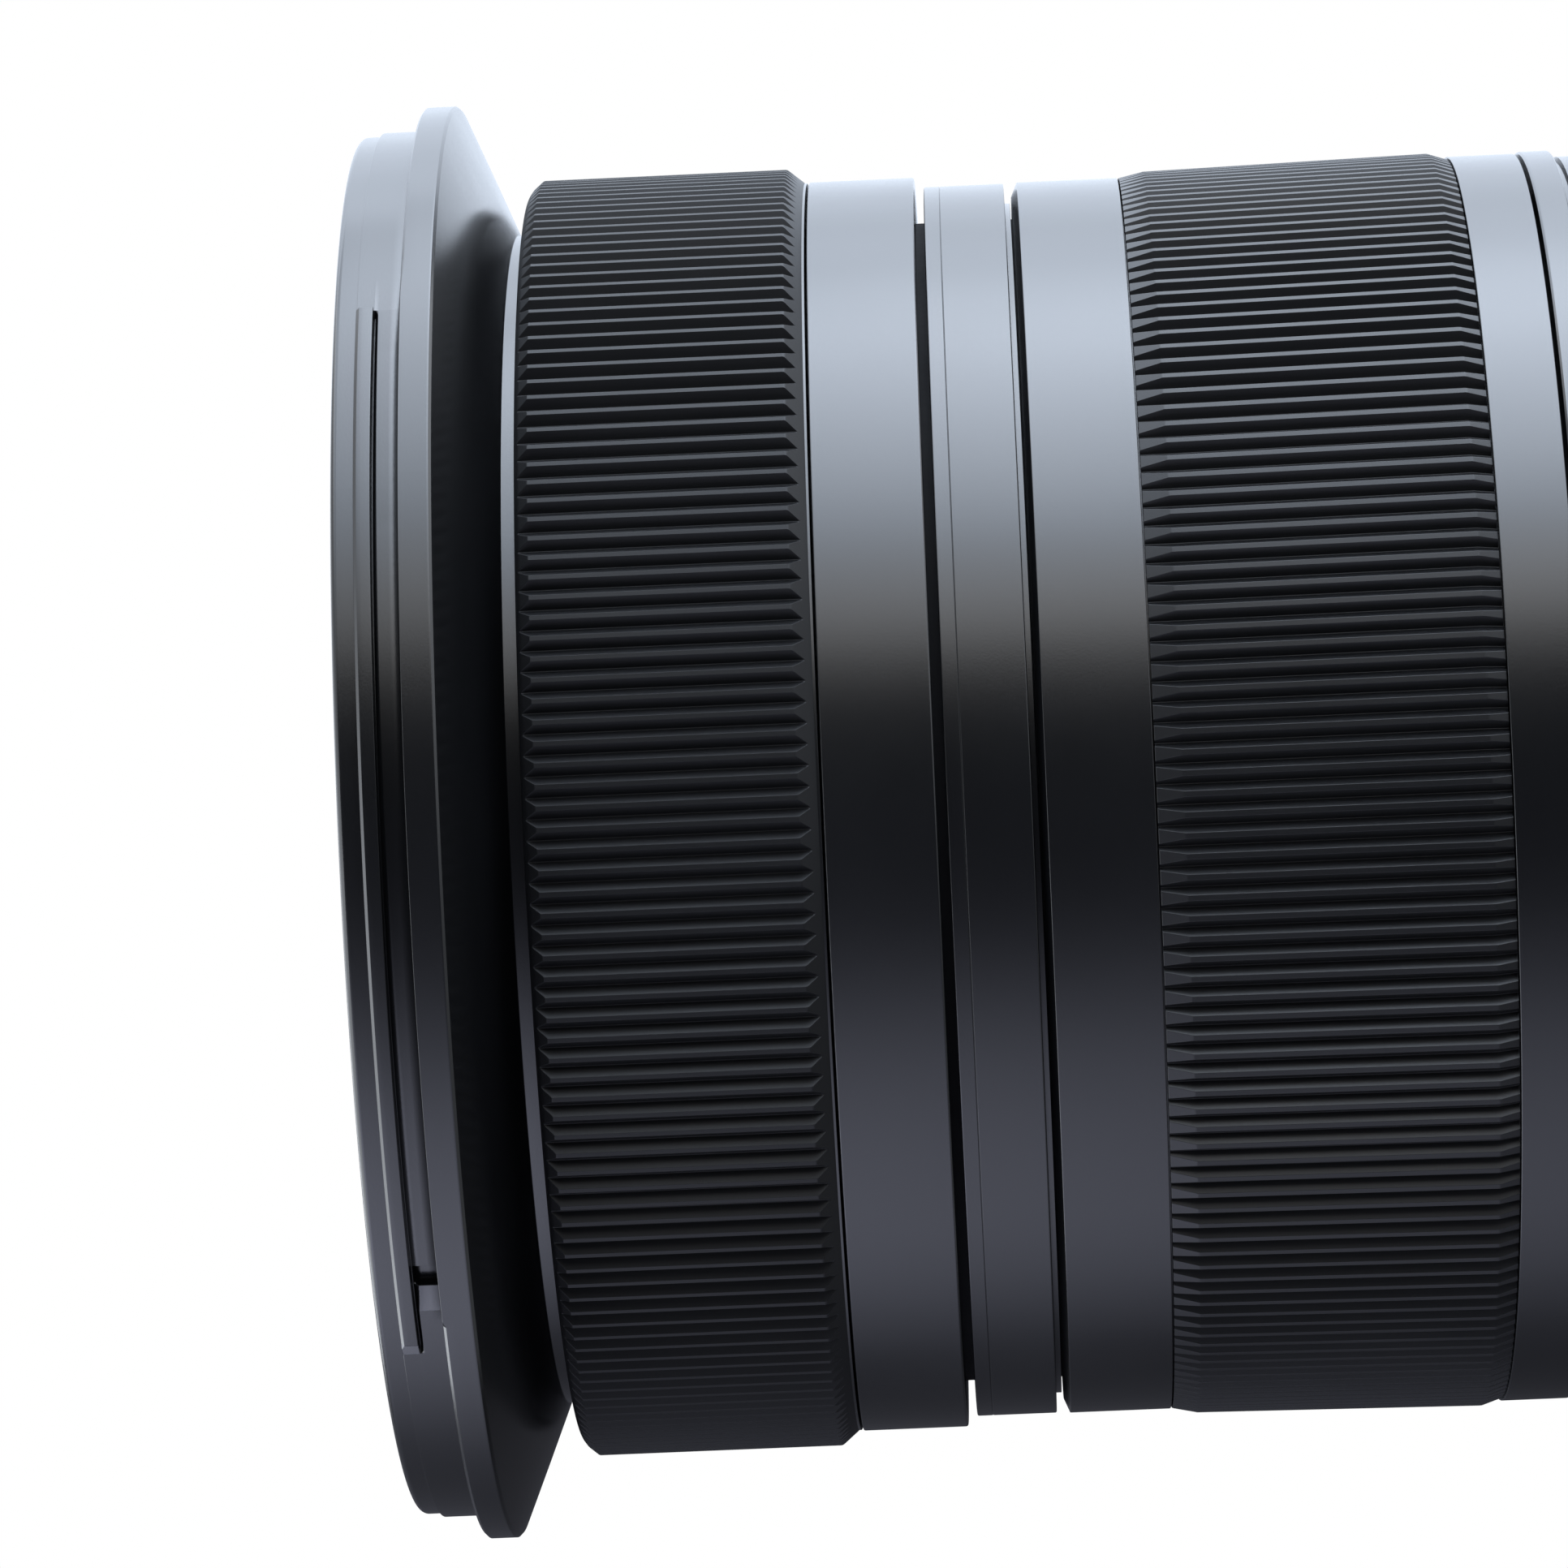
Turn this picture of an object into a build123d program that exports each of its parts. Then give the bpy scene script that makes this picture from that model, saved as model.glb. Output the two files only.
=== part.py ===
from build123d import *
import math
import os

os.makedirs("parts", exist_ok=True)

# ---------------------------------------------------------------------------
# Zoom lens, internal zoom.  Millimetres.  +Z is the optical axis towards the
# subject; z = 0 is the seating face of the rear bayonet; the spigot and its
# lugs stand below it.
# ---------------------------------------------------------------------------
LENGTH = 100.6            # seating face to front edge
SPIGOT_END = -5.0         # end of the rear spigot

# outside radii, front to rear
R_LIP = 37.15             # front lip
R_HOOD = 37.35            # hood bayonet band
R_LUG = 37.75             # hood bayonet lugs
R_FLANGE = 38.60          # largest diameter, 77.2 mm
R_NECK = 31.50            # foot of the cone behind the flange
R_FOCUS = 34.40           # crest of the focus ribs
R_BAND_E = 33.66          # smooth band behind the focus ring
R_BAND_F = 33.12          # smooth band between the two grooves
R_BAND_G = 33.15          # front band of the zoom ring
R_ZOOM_FRONT = 33.42      # crest of the zoom ribs, front
R_ZOOM_REAR = 33.68       # crest of the zoom ribs, rear
R_BAND_H = 33.46          # rear band of the zoom ring
R_BAND_I = 33.55          # band at the front of the rear barrel
R_REAR = 33.20            # rear barrel
R_SEAT = 31.40            # foot of the rear barrel at the mount
R_SCREWS = 27.6           # circle of the four mount screws

# stations along the axis
Z_STEP = LENGTH - 1.20    # lip to hood band
Z_LUG = LENGTH - 2.07     # rear edge of the hood lugs
Z_FL_F = LENGTH - 3.52    # flange front
Z_FL_R = LENGTH - 5.18    # flange rear
Z_NECK = LENGTH - 8.05    # foot of the cone
Z_FOC_B = LENGTH - 8.88   # focus ring front face, where the ribs begin
Z_FOC_C1 = LENGTH - 9.62  # crest start
Z_FOC_C2 = LENGTH - 22.64 # crest end
Z_FOC_R = LENGTH - 23.70  # focus ring rear
Z_E_F = LENGTH - 23.86
Z_E_R = LENGTH - 29.44
Z_F_F = LENGTH - 29.95
Z_F_R = LENGTH - 34.20
Z_G_F = LENGTH - 34.92
Z_G_R = LENGTH - 40.30
Z_ZC1 = LENGTH - 41.55    # zoom crest start
Z_ZC2 = LENGTH - 56.90    # zoom crest end
Z_H_F = LENGTH - 57.98
Z_H_R = LENGTH - 61.52
Z_I_F = LENGTH - 61.74
Z_I_R = LENGTH - 63.34

# ribs on both rings
N_RIBS = 202
RIB_DEPTH = 0.48
RIB_CREST = 0.30          # flat on top of a rib
RIB_ROOT = 0.16           # flat at the bottom of a valley

# barrels, inside to outside
R_GUIDE_IN, R_GUIDE_OUT = 27.0, 28.2      # fixed barrel with straight slots
R_CAM_IN, R_CAM_OUT = 28.4, 29.6          # turning barrel with helical slots
R_MAIN_IN, R_MAIN_OUT = 30.0, 31.2        # fixed outer barrel under the rings
RUN = 0.08                                # running clearance of the rings

# front thread M72 x 0.75, modelled at its major radius
R_THREAD = 36.0
Z_THREAD = LENGTH - 3.4

# zoom motion
ZOOM_ANGLE = 75.0
G1_TRAVEL, G2_TRAVEL, G3_TRAVEL = -3.3, 5.0, 7.0
Z_G1, Z_G2, Z_G3 = 73.2, 56.0, 40.0       # follower height at rest
A_G1, A_G2, A_G3 = 90.0, 50.0, 10.0       # first follower angle
R_FOLLOWER = 1.6

# iris
N_BLADES = 9
R_PIVOT = 20.0
Z_BLADE = 40.33
BLADE_T, BLADE_PITCH = 0.10, 0.13
BLADE_TURN, RING_TURN = 28.0, 14.0
PIN_R = 0.5

# focus drive
ROD_R, R_ROD, A_ROD = 0.9, 24.2, (-60.0, 120.0)
SCREW_R, R_SCREW, A_SCREW = 0.75, 24.4, 30.0

# hood bayonet, centred on the -Y side and its opposite
HOOD_ARCS = (0.0, 180.0)


def ray(deg, z=0.0, r=0.0):
    """Plane through the axis: x is radial, y is along the axis."""
    a = math.radians(deg)
    return Plane(origin=(r * math.cos(a), r * math.sin(a), z),
                 x_dir=(math.cos(a), math.sin(a), 0), z_dir=(math.sin(a), -math.cos(a), 0))


def wall(deg, z, r, tilt=0.0):
    """Plane facing outwards on a barrel: x runs round it, tilted by tilt degrees."""
    a, t = math.radians(deg), math.radians(tilt)
    xd = (-math.sin(a) * math.cos(t), math.cos(a) * math.cos(t), math.sin(t))
    return Plane(origin=(r * math.cos(a), r * math.sin(a), z), x_dir=xd, z_dir=(math.cos(a), math.sin(a), 0))


def polar(r, deg):
    a = math.radians(deg)
    return (r * math.cos(a), r * math.sin(a))


def sag(x, r, h):
    """Sag at x of a sphere that falls by h at radius r."""
    big = (r * r + h * h) / (2 * abs(h))
    return math.copysign(big - math.sqrt(big * big - x * x), h)


# ---------------------------------------------------------------------------
# fixed outside
# ---------------------------------------------------------------------------
with BuildPart() as front_barrel:
    with BuildSketch(Plane.XZ):
        with BuildLine():
            Polyline((R_THREAD + 0.35, LENGTH), (R_LIP - 0.32, LENGTH), (R_LIP - 0.09, LENGTH - 0.09),
                     (R_LIP, LENGTH - 0.32), (R_LIP, Z_STEP), (R_HOOD, Z_STEP - 0.05), (R_HOOD, Z_FL_F),
                     (R_FLANGE - 0.12, Z_FL_F), (R_FLANGE, Z_FL_F - 0.12), (R_FLANGE, Z_FL_R + 0.10),
                     (R_FLANGE - 0.10, Z_FL_R), (R_NECK, Z_NECK), (R_NECK, Z_FOC_B + 0.06), (R_MAIN_OUT + 0.02, Z_FOC_B + 0.06),
                     (R_MAIN_OUT + 0.02, 95.5), (35.3, 95.5), (35.3, Z_THREAD), (R_THREAD, Z_THREAD),
                     (R_THREAD, LENGTH - 0.35), close=True)
        make_face()
    revolve(axis=Axis.Z)
    # hood bayonet: channel that deepens along its run, detent notch, ramp, and the relief groove behind the lug
    for side in HOOD_ARCS:
        for a0, a1, z0, z1, rr in ((-127.4, -62.0, Z_FL_F, Z_LUG, 36.95), (-62.1, -52.0, Z_FL_F, Z_LUG, 37.08),
                                   (-52.1, -42.0, Z_FL_F, Z_LUG, 37.22), (-129.1, -127.3, Z_FL_F, Z_LUG, 36.55),
                                   (-131.1, -129.0, Z_FL_F, Z_LUG, 37.15), (-136.0, -45.7, Z_LUG - 0.32, Z_LUG, 36.40)):
            with BuildSketch(ray(a0 + side)):
                with BuildLine():
                    Polyline((rr, z0), (R_LUG + 0.5, z0), (R_LUG + 0.5, z1), (rr, z1), close=True)
                make_face()
            revolve(axis=Axis.Z, revolution_arc=a1 - a0, mode=Mode.SUBTRACT)
    # raised lug in front of the channel
    for side in HOOD_ARCS:
        with BuildSketch(ray(-135.4 + side)):
            with BuildLine():
                Polyline((36.7, Z_LUG), (R_LUG - 0.05, Z_LUG), (R_LUG, Z_LUG + 0.05), (R_LUG, Z_STEP - 0.12),
                         (R_LUG - 0.12, Z_STEP), (36.7, Z_STEP), close=True)
            make_face()
        revolve(axis=Axis.Z, revolution_arc=89.7)
front_barrel.part.label = "front_barrel"
export_step(front_barrel.part, "parts/front_barrel.step")

with BuildPart() as front_ring:
    with BuildSketch(Plane.XZ):
        with BuildLine():
            Polyline((28.6, 95.52), (35.22, 95.52), (35.22, 97.05), (34.6, 97.05), (34.4, 96.75), (33.4, 96.72),
                     (33.2, 96.45), (32.2, 96.42), (32.0, 96.15), (28.9, 96.05), (28.6, 95.85), close=True)
        make_face()
    revolve(axis=Axis.Z)
    # two spanner notches
    with Locations((34.72, 0, 96.8), (-34.72, 0, 96.8)):
        Box(1.0, 1.6, 0.7, mode=Mode.SUBTRACT)
front_ring.part.label = "front_ring"
export_step(front_ring.part, "parts/front_ring.step")

with BuildPart() as main_barrel:
    with BuildSketch(Plane.XZ):
        with BuildLine():
            Polyline((R_MAIN_IN, 33.0), (R_MAIN_OUT, 33.0), (R_MAIN_OUT, 95.1), (R_MAIN_IN, 95.1), close=True)
        make_face()
    revolve(axis=Axis.Z)
    # windows for the two zoom keys
    for side in (0.0, 180.0):
        with BuildSketch(ray(-8.0 + side)):
            with BuildLine():
                Polyline((29.5, 49.3), (31.9, 49.3), (31.9, 53.7), (29.5, 53.7), close=True)
            make_face()
        revolve(axis=Axis.Z, revolution_arc=ZOOM_ANGLE + 16.0, mode=Mode.SUBTRACT)
    # window for the focus ring sensor
    with BuildSketch(wall(90, 82.0, 29.0)):
        Rectangle(7.0, 4.0)
    extrude(amount=3.5, mode=Mode.SUBTRACT)
main_barrel.part.label = "main_barrel"
export_step(main_barrel.part, "parts/main_barrel.step")

with BuildPart() as mid_sleeve:
    with BuildSketch(Plane.XZ):
        with BuildLine():
            Polyline((R_MAIN_OUT + 0.02, Z_E_R), (R_BAND_E - 0.12, Z_E_R), (R_BAND_E, Z_E_R + 0.12),
                     (R_BAND_E, Z_E_F - 0.10), (R_BAND_E - 0.10, Z_E_F), (R_MAIN_OUT + 0.02, Z_E_F), close=True)
        make_face()
    revolve(axis=Axis.Z)
mid_sleeve.part.label = "mid_sleeve"
export_step(mid_sleeve.part, "parts/mid_sleeve.step")

with BuildPart() as trim_ring:
    with BuildSketch(Plane.XZ):
        with BuildLine():
            Polyline((R_MAIN_OUT + 0.02, Z_F_R - 0.30), (32.05, Z_F_R - 0.30), (32.05, Z_F_R), (R_BAND_F - 0.08, Z_F_R),
                     (R_BAND_F, Z_F_R + 0.08), (R_BAND_F, Z_F_F - 0.88), (R_BAND_F - 0.05, Z_F_F - 0.83),
                     (R_BAND_F, Z_F_F - 0.78), (R_BAND_F, Z_F_F - 0.10), (R_BAND_F - 0.10, Z_F_F),
                     (R_MAIN_OUT + 0.02, Z_F_F), close=True)
        make_face()
    revolve(axis=Axis.Z)
trim_ring.part.label = "trim_ring"
export_step(trim_ring.part, "parts/trim_ring.step")

with BuildPart() as rear_barrel:
    with BuildSketch(Plane.XZ):
        with BuildLine():
            Polyline((R_MAIN_OUT + 0.02, 33.0), (R_MAIN_OUT + 0.02, Z_I_F), (R_BAND_I - 0.10, Z_I_F),
                     (R_BAND_I, Z_I_F - 0.10), (R_BAND_I, Z_I_R + 0.06), (R_BAND_I - 0.06, Z_I_R), (R_REAR - 0.25, Z_I_R),
                     (R_REAR - 0.25, Z_I_R - 0.35), (R_REAR, Z_I_R - 0.45), (R_REAR, 15.0), (R_SEAT + 0.5, 7.0),
                     (R_SEAT, 2.25), (23.6, 2.25), (23.6, 4.2), (29.6, 4.2), (30.2, 8.0), (31.7, 15.6), (31.7, 32.6),
                     close=True)
        make_face()
    revolve(axis=Axis.Z)
    # recess and window for the focus mode switch, on the -Y side
    with Locations((0, -33.4, 24.0)):
        Box(10.0, 2.0, 15.0, mode=Mode.SUBTRACT)
    with Locations((0, -32.0, 24.0)):
        Box(3.4, 3.0, 6.8, mode=Mode.SUBTRACT)
    # clearance holes for the mount screws
    with BuildSketch(Plane.XY.offset(2.0)):
        with PolarLocations(R_SCREWS, 4, start_angle=45):
            Circle(1.0)
    extrude(amount=2.6, mode=Mode.SUBTRACT)
rear_barrel.part.label = "rear_barrel"
export_step(rear_barrel.part, "parts/rear_barrel.step")

with BuildPart() as switch_plate:
    with Locations((0, -32.68, 24.0)):
        Box(9.8, 0.52, 14.8)
    fillet(switch_plate.edges().filter_by(Axis.Y), 1.6)
    with Locations((0, -32.6, 24.0)):
        Box(3.4, 2.0, 6.8, mode=Mode.SUBTRACT)
switch_plate.part.label = "switch_plate"
export_step(switch_plate.part, "parts/switch_plate.step")

with BuildPart() as switch_knob:
    with Locations((0, -32.60, 22.8)):
        Box(3.0, 2.2, 4.0)
    fillet(switch_knob.edges().filter_by(Axis.Y), 0.5)
    for k in range(-2, 3):
        with Locations((0, -33.75, 22.8 + 0.62 * k)):
            Box(3.4, 0.5, 0.26, mode=Mode.SUBTRACT)
switch_knob.part.label = "switch_knob"
export_step(switch_knob.part, "parts/switch_knob.step")

# ---------------------------------------------------------------------------
# mount
# ---------------------------------------------------------------------------
with BuildPart() as bayonet_mount:
    with BuildSketch(Plane.XZ):
        with BuildLine():
            Polyline((22.6, SPIGOT_END), (24.2, SPIGOT_END), (24.5, SPIGOT_END + 0.3), (24.5, 0.0), (30.1, 0.0),
                     (30.3, 0.2), (30.3, 2.23), (23.5, 2.23), (23.5, 0.6), (22.6, 0.6), close=True)
        make_face()
    revolve(axis=Axis.Z)
    # three bayonet lugs of unequal width
    for a0, da in ((-30.0, 52.0), (92.0, 46.0), (208.0, 48.0)):
        with BuildSketch(ray(a0)):
            with BuildLine():
                Polyline((24.4, -4.55), (26.3, -4.55), (26.6, -4.25), (26.6, -3.15), (26.45, -3.0), (24.4, -3.0), close=True)
            make_face()
        revolve(axis=Axis.Z, revolution_arc=da)
    # countersunk holes for four screws
    with Locations(Plane.XY.rotated((180, 0, 0))):
        with PolarLocations(R_SCREWS, 4, start_angle=45):
            CounterSinkHole(radius=0.95, counter_sink_radius=1.45, depth=2.4, counter_sink_angle=90)
    # blind hole for the lock pin and a shallow alignment dimple
    with BuildSketch(Plane.XY):
        with Locations(polar(27.6, -8.0)):
            Circle(1.25)
        with Locations(polar(28.9, 172.0)):
            Circle(0.7)
    extrude(amount=1.6, mode=Mode.SUBTRACT)
bayonet_mount.part.label = "bayonet_mount"
export_step(bayonet_mount.part, "parts/bayonet_mount.step")

with BuildPart() as mount_screws:
    with BuildSketch(Plane.XY.offset(0.06)):
        with PolarLocations(R_SCREWS, 4, start_angle=45):
            Circle(1.36)
    extrude(amount=0.5, taper=44.0)
    with BuildSketch(Plane.XY.offset(0.3)):
        with PolarLocations(R_SCREWS, 4, start_angle=45):
            Circle(0.86)
    extrude(amount=5.2)
    with BuildSketch(Plane.XY.offset(0.0)):
        with PolarLocations(R_SCREWS, 4, start_angle=45):
            Rectangle(1.5, 0.34)
            Rectangle(0.34, 1.5)
    extrude(amount=0.42, mode=Mode.SUBTRACT)
mount_screws.part.label = "mount_screws"
export_step(mount_screws.part, "parts/mount_screws.step")

with BuildPart() as mount_seal:
    with BuildSketch(Plane.XZ):
        with BuildLine():
            Polyline((30.34, 0.35), (30.9, 0.05), (31.45, -0.55), (31.6, -0.5), (31.35, 0.5), (31.35, 2.22), (30.34, 2.22),
                     close=True)
        make_face()
    revolve(axis=Axis.Z)
mount_seal.part.label = "mount_seal"
export_step(mount_seal.part, "parts/mount_seal.step")

with BuildPart() as rear_baffle:
    with BuildSketch(Plane.XY.offset(0.62)):
        Circle(23.42)
        RectangleRounded(32.0, 22.0, 2.5, mode=Mode.SUBTRACT)
    extrude(amount=1.55)
    # seat of the contact strip
    with BuildSketch(ray(57.5)):
        with BuildLine():
            Polyline((20.0, 0.0), (22.95, 0.0), (22.95, 3.0), (20.0, 3.0), close=True)
        make_face()
    revolve(axis=Axis.Z, revolution_arc=65.0, mode=Mode.SUBTRACT)
rear_baffle.part.label = "rear_baffle"
export_step(rear_baffle.part, "parts/rear_baffle.step")

with BuildPart() as contact_block:
    with BuildSketch(ray(58.0)):
        with BuildLine():
            Polyline((20.05, 0.62), (22.90, 0.62), (22.90, 2.17), (20.05, 2.17), close=True)
        make_face()
    revolve(axis=Axis.Z, revolution_arc=64.0)
    with BuildSketch(Plane.XY.offset(0.0)):
        for k in range(10):
            with Locations(polar(21.3, 63.0 + 6.0 * k)):
                Circle(0.72)
    extrude(amount=1.7, mode=Mode.SUBTRACT)
contact_block.part.label = "contact_block"
export_step(contact_block.part, "parts/contact_block.step")

with BuildPart() as contact_pins:
    with BuildSketch(Plane.XY.offset(0.64)):
        for k in range(10):
            with Locations(polar(21.3, 63.0 + 6.0 * k)):
                Circle(0.68)
    extrude(amount=1.04)
    fillet(contact_pins.edges().group_by(Axis.Z)[0], 0.18)
contact_pins.part.label = "contact_pins"
export_step(contact_pins.part, "parts/contact_pins.step")

# ---------------------------------------------------------------------------
# fixed inside: guide barrel, rear group, rods, motor, board
# ---------------------------------------------------------------------------
with BuildPart() as guide_barrel:
    with BuildSketch(Plane.XZ):
        with BuildLine():
            Polyline((24.2, 4.22), (29.4, 4.22), (29.4, 5.5), (R_GUIDE_OUT, 5.5), (R_GUIDE_OUT, 76.0), (R_GUIDE_IN, 76.0),
                     (R_GUIDE_IN, 5.6), (24.2, 5.6), close=True)
        make_face()
    revolve(axis=Axis.Z)
    for a0, zf, tr in ((A_G1, Z_G1, G1_TRAVEL), (A_G2, Z_G2, G2_TRAVEL), (A_G3, Z_G3, G3_TRAVEL)):
        for k in range(3):
            with BuildSketch(wall(a0 + 120.0 * k, zf + tr / 2, 26.4)):
                SlotCenterToCenter(abs(tr) + 0.1, 2 * (R_FOLLOWER + 0.06), rotation=90)
    extrude(amount=2.6, mode=Mode.SUBTRACT)
    with BuildSketch(Plane.XY.offset(4.0)):
        with PolarLocations(R_SCREWS, 4, start_angle=45):
            Circle(1.0)
    extrude(amount=2.0, mode=Mode.SUBTRACT)
guide_barrel.part.label = "guide_barrel"
export_step(guide_barrel.part, "parts/guide_barrel.step")

with BuildPart() as rear_cell:
    with BuildSketch(Plane.XZ):
        with BuildLine():
            Polyline((19.6, 2.25), (21.4, 2.25), (21.4, 5.62), (26.9, 5.62), (26.9, 6.8), (21.9, 6.8), (21.9, 13.2),
                     (26.9, 13.2), (26.9, 14.4), (16.6, 14.4), (16.6, 12.9), (17.6, 12.9), (17.6, 9.3), (19.6, 9.3), close=True)
        make_face()
    revolve(axis=Axis.Z)
    with BuildSketch(Plane.XY.offset(13.0)):
        for a in A_ROD:
            with Locations(polar(R_ROD, a)):
                Circle(ROD_R + 0.01)
        with Locations(polar(R_SCREW, A_SCREW)):
            Circle(SCREW_R + 0.08)
    extrude(amount=1.6, mode=Mode.SUBTRACT)
rear_cell.part.label = "rear_cell"
export_step(rear_cell.part, "parts/rear_cell.step")

with BuildPart() as rear_element:
    with BuildSketch(Plane.XZ):
        with BuildLine():
            Line((0, 3.0), (0, 8.2))
            ThreePointArc((0, 8.2), (9.0, 8.2 - sag(9.0, 19.5, 2.6)), (19.5, 5.6))
            Line((19.5, 5.6), (19.5, 4.2))
            ThreePointArc((19.5, 4.2), (9.0, 3.0 + sag(9.0, 19.5, 1.2)), (0, 3.0))
        make_face()
    revolve(axis=Axis.Z)
rear_element.part.label = "rear_element"
export_step(rear_element.part, "parts/rear_element.step")

with BuildPart() as rear_inner_element:
    with BuildSketch(Plane.XZ):
        with BuildLine():
            Line((0, 10.6), (0, 13.6))
            ThreePointArc((0, 13.6), (8.0, 13.6 - sag(8.0, 17.5, 1.2)), (17.5, 12.4))
            Line((17.5, 12.4), (17.5, 9.4))
            ThreePointArc((17.5, 9.4), (8.0, 10.6 - sag(8.0, 17.5, 1.2)), (0, 10.6))
        make_face()
    revolve(axis=Axis.Z)
rear_inner_element.part.label = "rear_inner_element"
export_step(rear_inner_element.part, "parts/rear_inner_element.step")

with BuildPart() as rod_plate:
    with BuildSketch(Plane.XY.offset(31.7)):
        Circle(26.95)
        Circle(17.5, mode=Mode.SUBTRACT)
        for a in A_ROD:
            with Locations(polar(R_ROD, a)):
                Circle(ROD_R + 0.01, mode=Mode.SUBTRACT)
        with Locations(polar(R_SCREW, A_SCREW)):
            Circle(SCREW_R + 0.08, mode=Mode.SUBTRACT)
    extrude(amount=1.2)
rod_plate.part.label = "rod_plate"
export_step(rod_plate.part, "parts/rod_plate.step")

with BuildPart() as guide_rods:
    with BuildSketch(Plane.XY.offset(13.2)):
        for a in A_ROD:
            with Locations(polar(R_ROD, a)):
                Circle(ROD_R)
    extrude(amount=19.7)
guide_rods.part.label = "guide_rods"
export_step(guide_rods.part, "parts/guide_rods.step")

with BuildPart() as focus_motor:
    with BuildSketch(Plane.XY.offset(6.9)):
        with Locations(polar(R_SCREW, A_SCREW)):
            Circle(2.35)
    extrude(amount=6.0)
    chamfer(focus_motor.edges().filter_by(GeomType.CIRCLE), 0.25)
focus_motor.part.label = "focus_motor"
export_step(focus_motor.part, "parts/focus_motor.step")

with BuildPart() as lead_screw:
    with BuildSketch(Plane.XY.offset(13.0)):
        with Locations(polar(R_SCREW, A_SCREW)):
            Circle(SCREW_R)
    extrude(amount=19.6)
lead_screw.part.label = "lead_screw"
export_step(lead_screw.part, "parts/lead_screw.step")

with BuildPart() as main_board:
    with BuildSketch(ray(20.0)):
        with BuildLine():
            Polyline((28.5, 9.5), (30.2, 9.5), (30.2, 10.3), (28.5, 10.3), close=True)
        make_face()
    revolve(axis=Axis.Z, revolution_arc=300.0)
    for a in (50.0, 95.0, 160.0, 215.0, 262.0):
        with BuildSketch(Plane.XY.offset(10.3)):
            with Locations(Location((*polar(29.35, a), 0), (0, 0, 1), a)):
                Rectangle(1.3, 4.0)
        extrude(amount=0.8)
main_board.part.label = "main_board"
export_step(main_board.part, "parts/main_board.step")

with BuildPart() as focus_sensor:
    with BuildSketch(wall(90, 82.0, 30.05)):
        Rectangle(6.4, 3.4)
    extrude(amount=0.9)
focus_sensor.part.label = "focus_sensor"
export_step(focus_sensor.part, "parts/focus_sensor.step")

# ---------------------------------------------------------------------------
# focus ring
# ---------------------------------------------------------------------------
with BuildPart() as focus_carrier:
    with BuildSketch(Plane.XZ):
        with BuildLine():
            Polyline((R_MAIN_OUT + RUN, Z_FOC_B), (33.36, Z_FOC_B), (33.10, Z_FOC_B - 0.02), (33.10, Z_FOC_R),
                     (R_MAIN_OUT + RUN, Z_FOC_R), close=True)
        make_face()
    revolve(axis=Axis.Z)
focus_carrier.part.label = "focus_carrier"
export_step(focus_carrier.part, "parts/focus_carrier.step")

step = 2 * math.pi / N_RIBS
with BuildPart() as focus_grip:
    with BuildSketch(Plane.XY.offset(Z_FOC_R)):
        with BuildLine():
            pts = []
            for k in range(N_RIBS):
                c = k * step
                hc, hv = RIB_CREST / 2 / R_FOCUS, RIB_ROOT / 2 / R_FOCUS
                for da, rr in ((-hc, R_FOCUS), (hc, R_FOCUS), (step / 2 - hv, R_FOCUS - RIB_DEPTH),
                               (step / 2 + hv, R_FOCUS - RIB_DEPTH)):
                    pts.append((rr * math.cos(c + da), rr * math.sin(c + da)))
            Polyline(*pts, close=True)
        make_face()
        Circle(33.12, mode=Mode.SUBTRACT)
    extrude(amount=Z_FOC_B - 0.04 - Z_FOC_R)
    # outside envelope: chamfered to the rear, rounded to the front
    with BuildSketch(Plane.XZ):
        with BuildLine():
            Polyline((33.0, Z_FOC_R - 0.5), (R_BAND_E - 0.02, Z_FOC_R - 0.5), (R_BAND_E - 0.02, Z_FOC_R), (R_FOCUS, Z_FOC_C2),
                     (R_FOCUS, Z_FOC_C1), (R_FOCUS - 0.25, Z_FOC_C1 + 0.36), (R_FOCUS - 0.62, Z_FOC_C1 + 0.62),
                     (R_FOCUS - 0.94, Z_FOC_B - 0.04), (R_FOCUS - 0.94, Z_FOC_B + 0.2), (33.0, Z_FOC_B + 0.2), close=True)
        make_face()
    revolve(axis=Axis.Z, mode=Mode.INTERSECT)
focus_grip.part.label = "focus_grip"
export_step(focus_grip.part, "parts/focus_grip.step")

# ---------------------------------------------------------------------------
# zoom ring and cam barrel
# ---------------------------------------------------------------------------
with BuildPart() as zoom_carrier:
    with BuildSketch(Plane.XZ):
        with BuildLine():
            Polyline((R_MAIN_OUT + RUN, Z_H_R), (R_BAND_H - 0.08, Z_H_R), (R_BAND_H, Z_H_R + 0.08), (R_BAND_H, Z_H_F - 0.05),
                     (R_BAND_H - 0.05, Z_H_F), (32.2, Z_H_F), (32.2, Z_G_R), (R_BAND_G - 0.08, Z_G_R),
                     (R_BAND_G, Z_G_R + 0.08), (R_BAND_G, Z_G_F), (32.35, Z_G_F + 0.32), (R_MAIN_OUT + RUN, Z_G_F + 0.32),
                     close=True)
        make_face()
    revolve(axis=Axis.Z)
    for side in (0.0, 180.0):
        for da in (-2.6, 2.6):
            with BuildSketch(wall(side + da, 51.5, 31.0)):
                Circle(0.72)
    extrude(amount=1.6, mode=Mode.SUBTRACT)
zoom_carrier.part.label = "zoom_carrier"
export_step(zoom_carrier.part, "parts/zoom_carrier.step")

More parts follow.
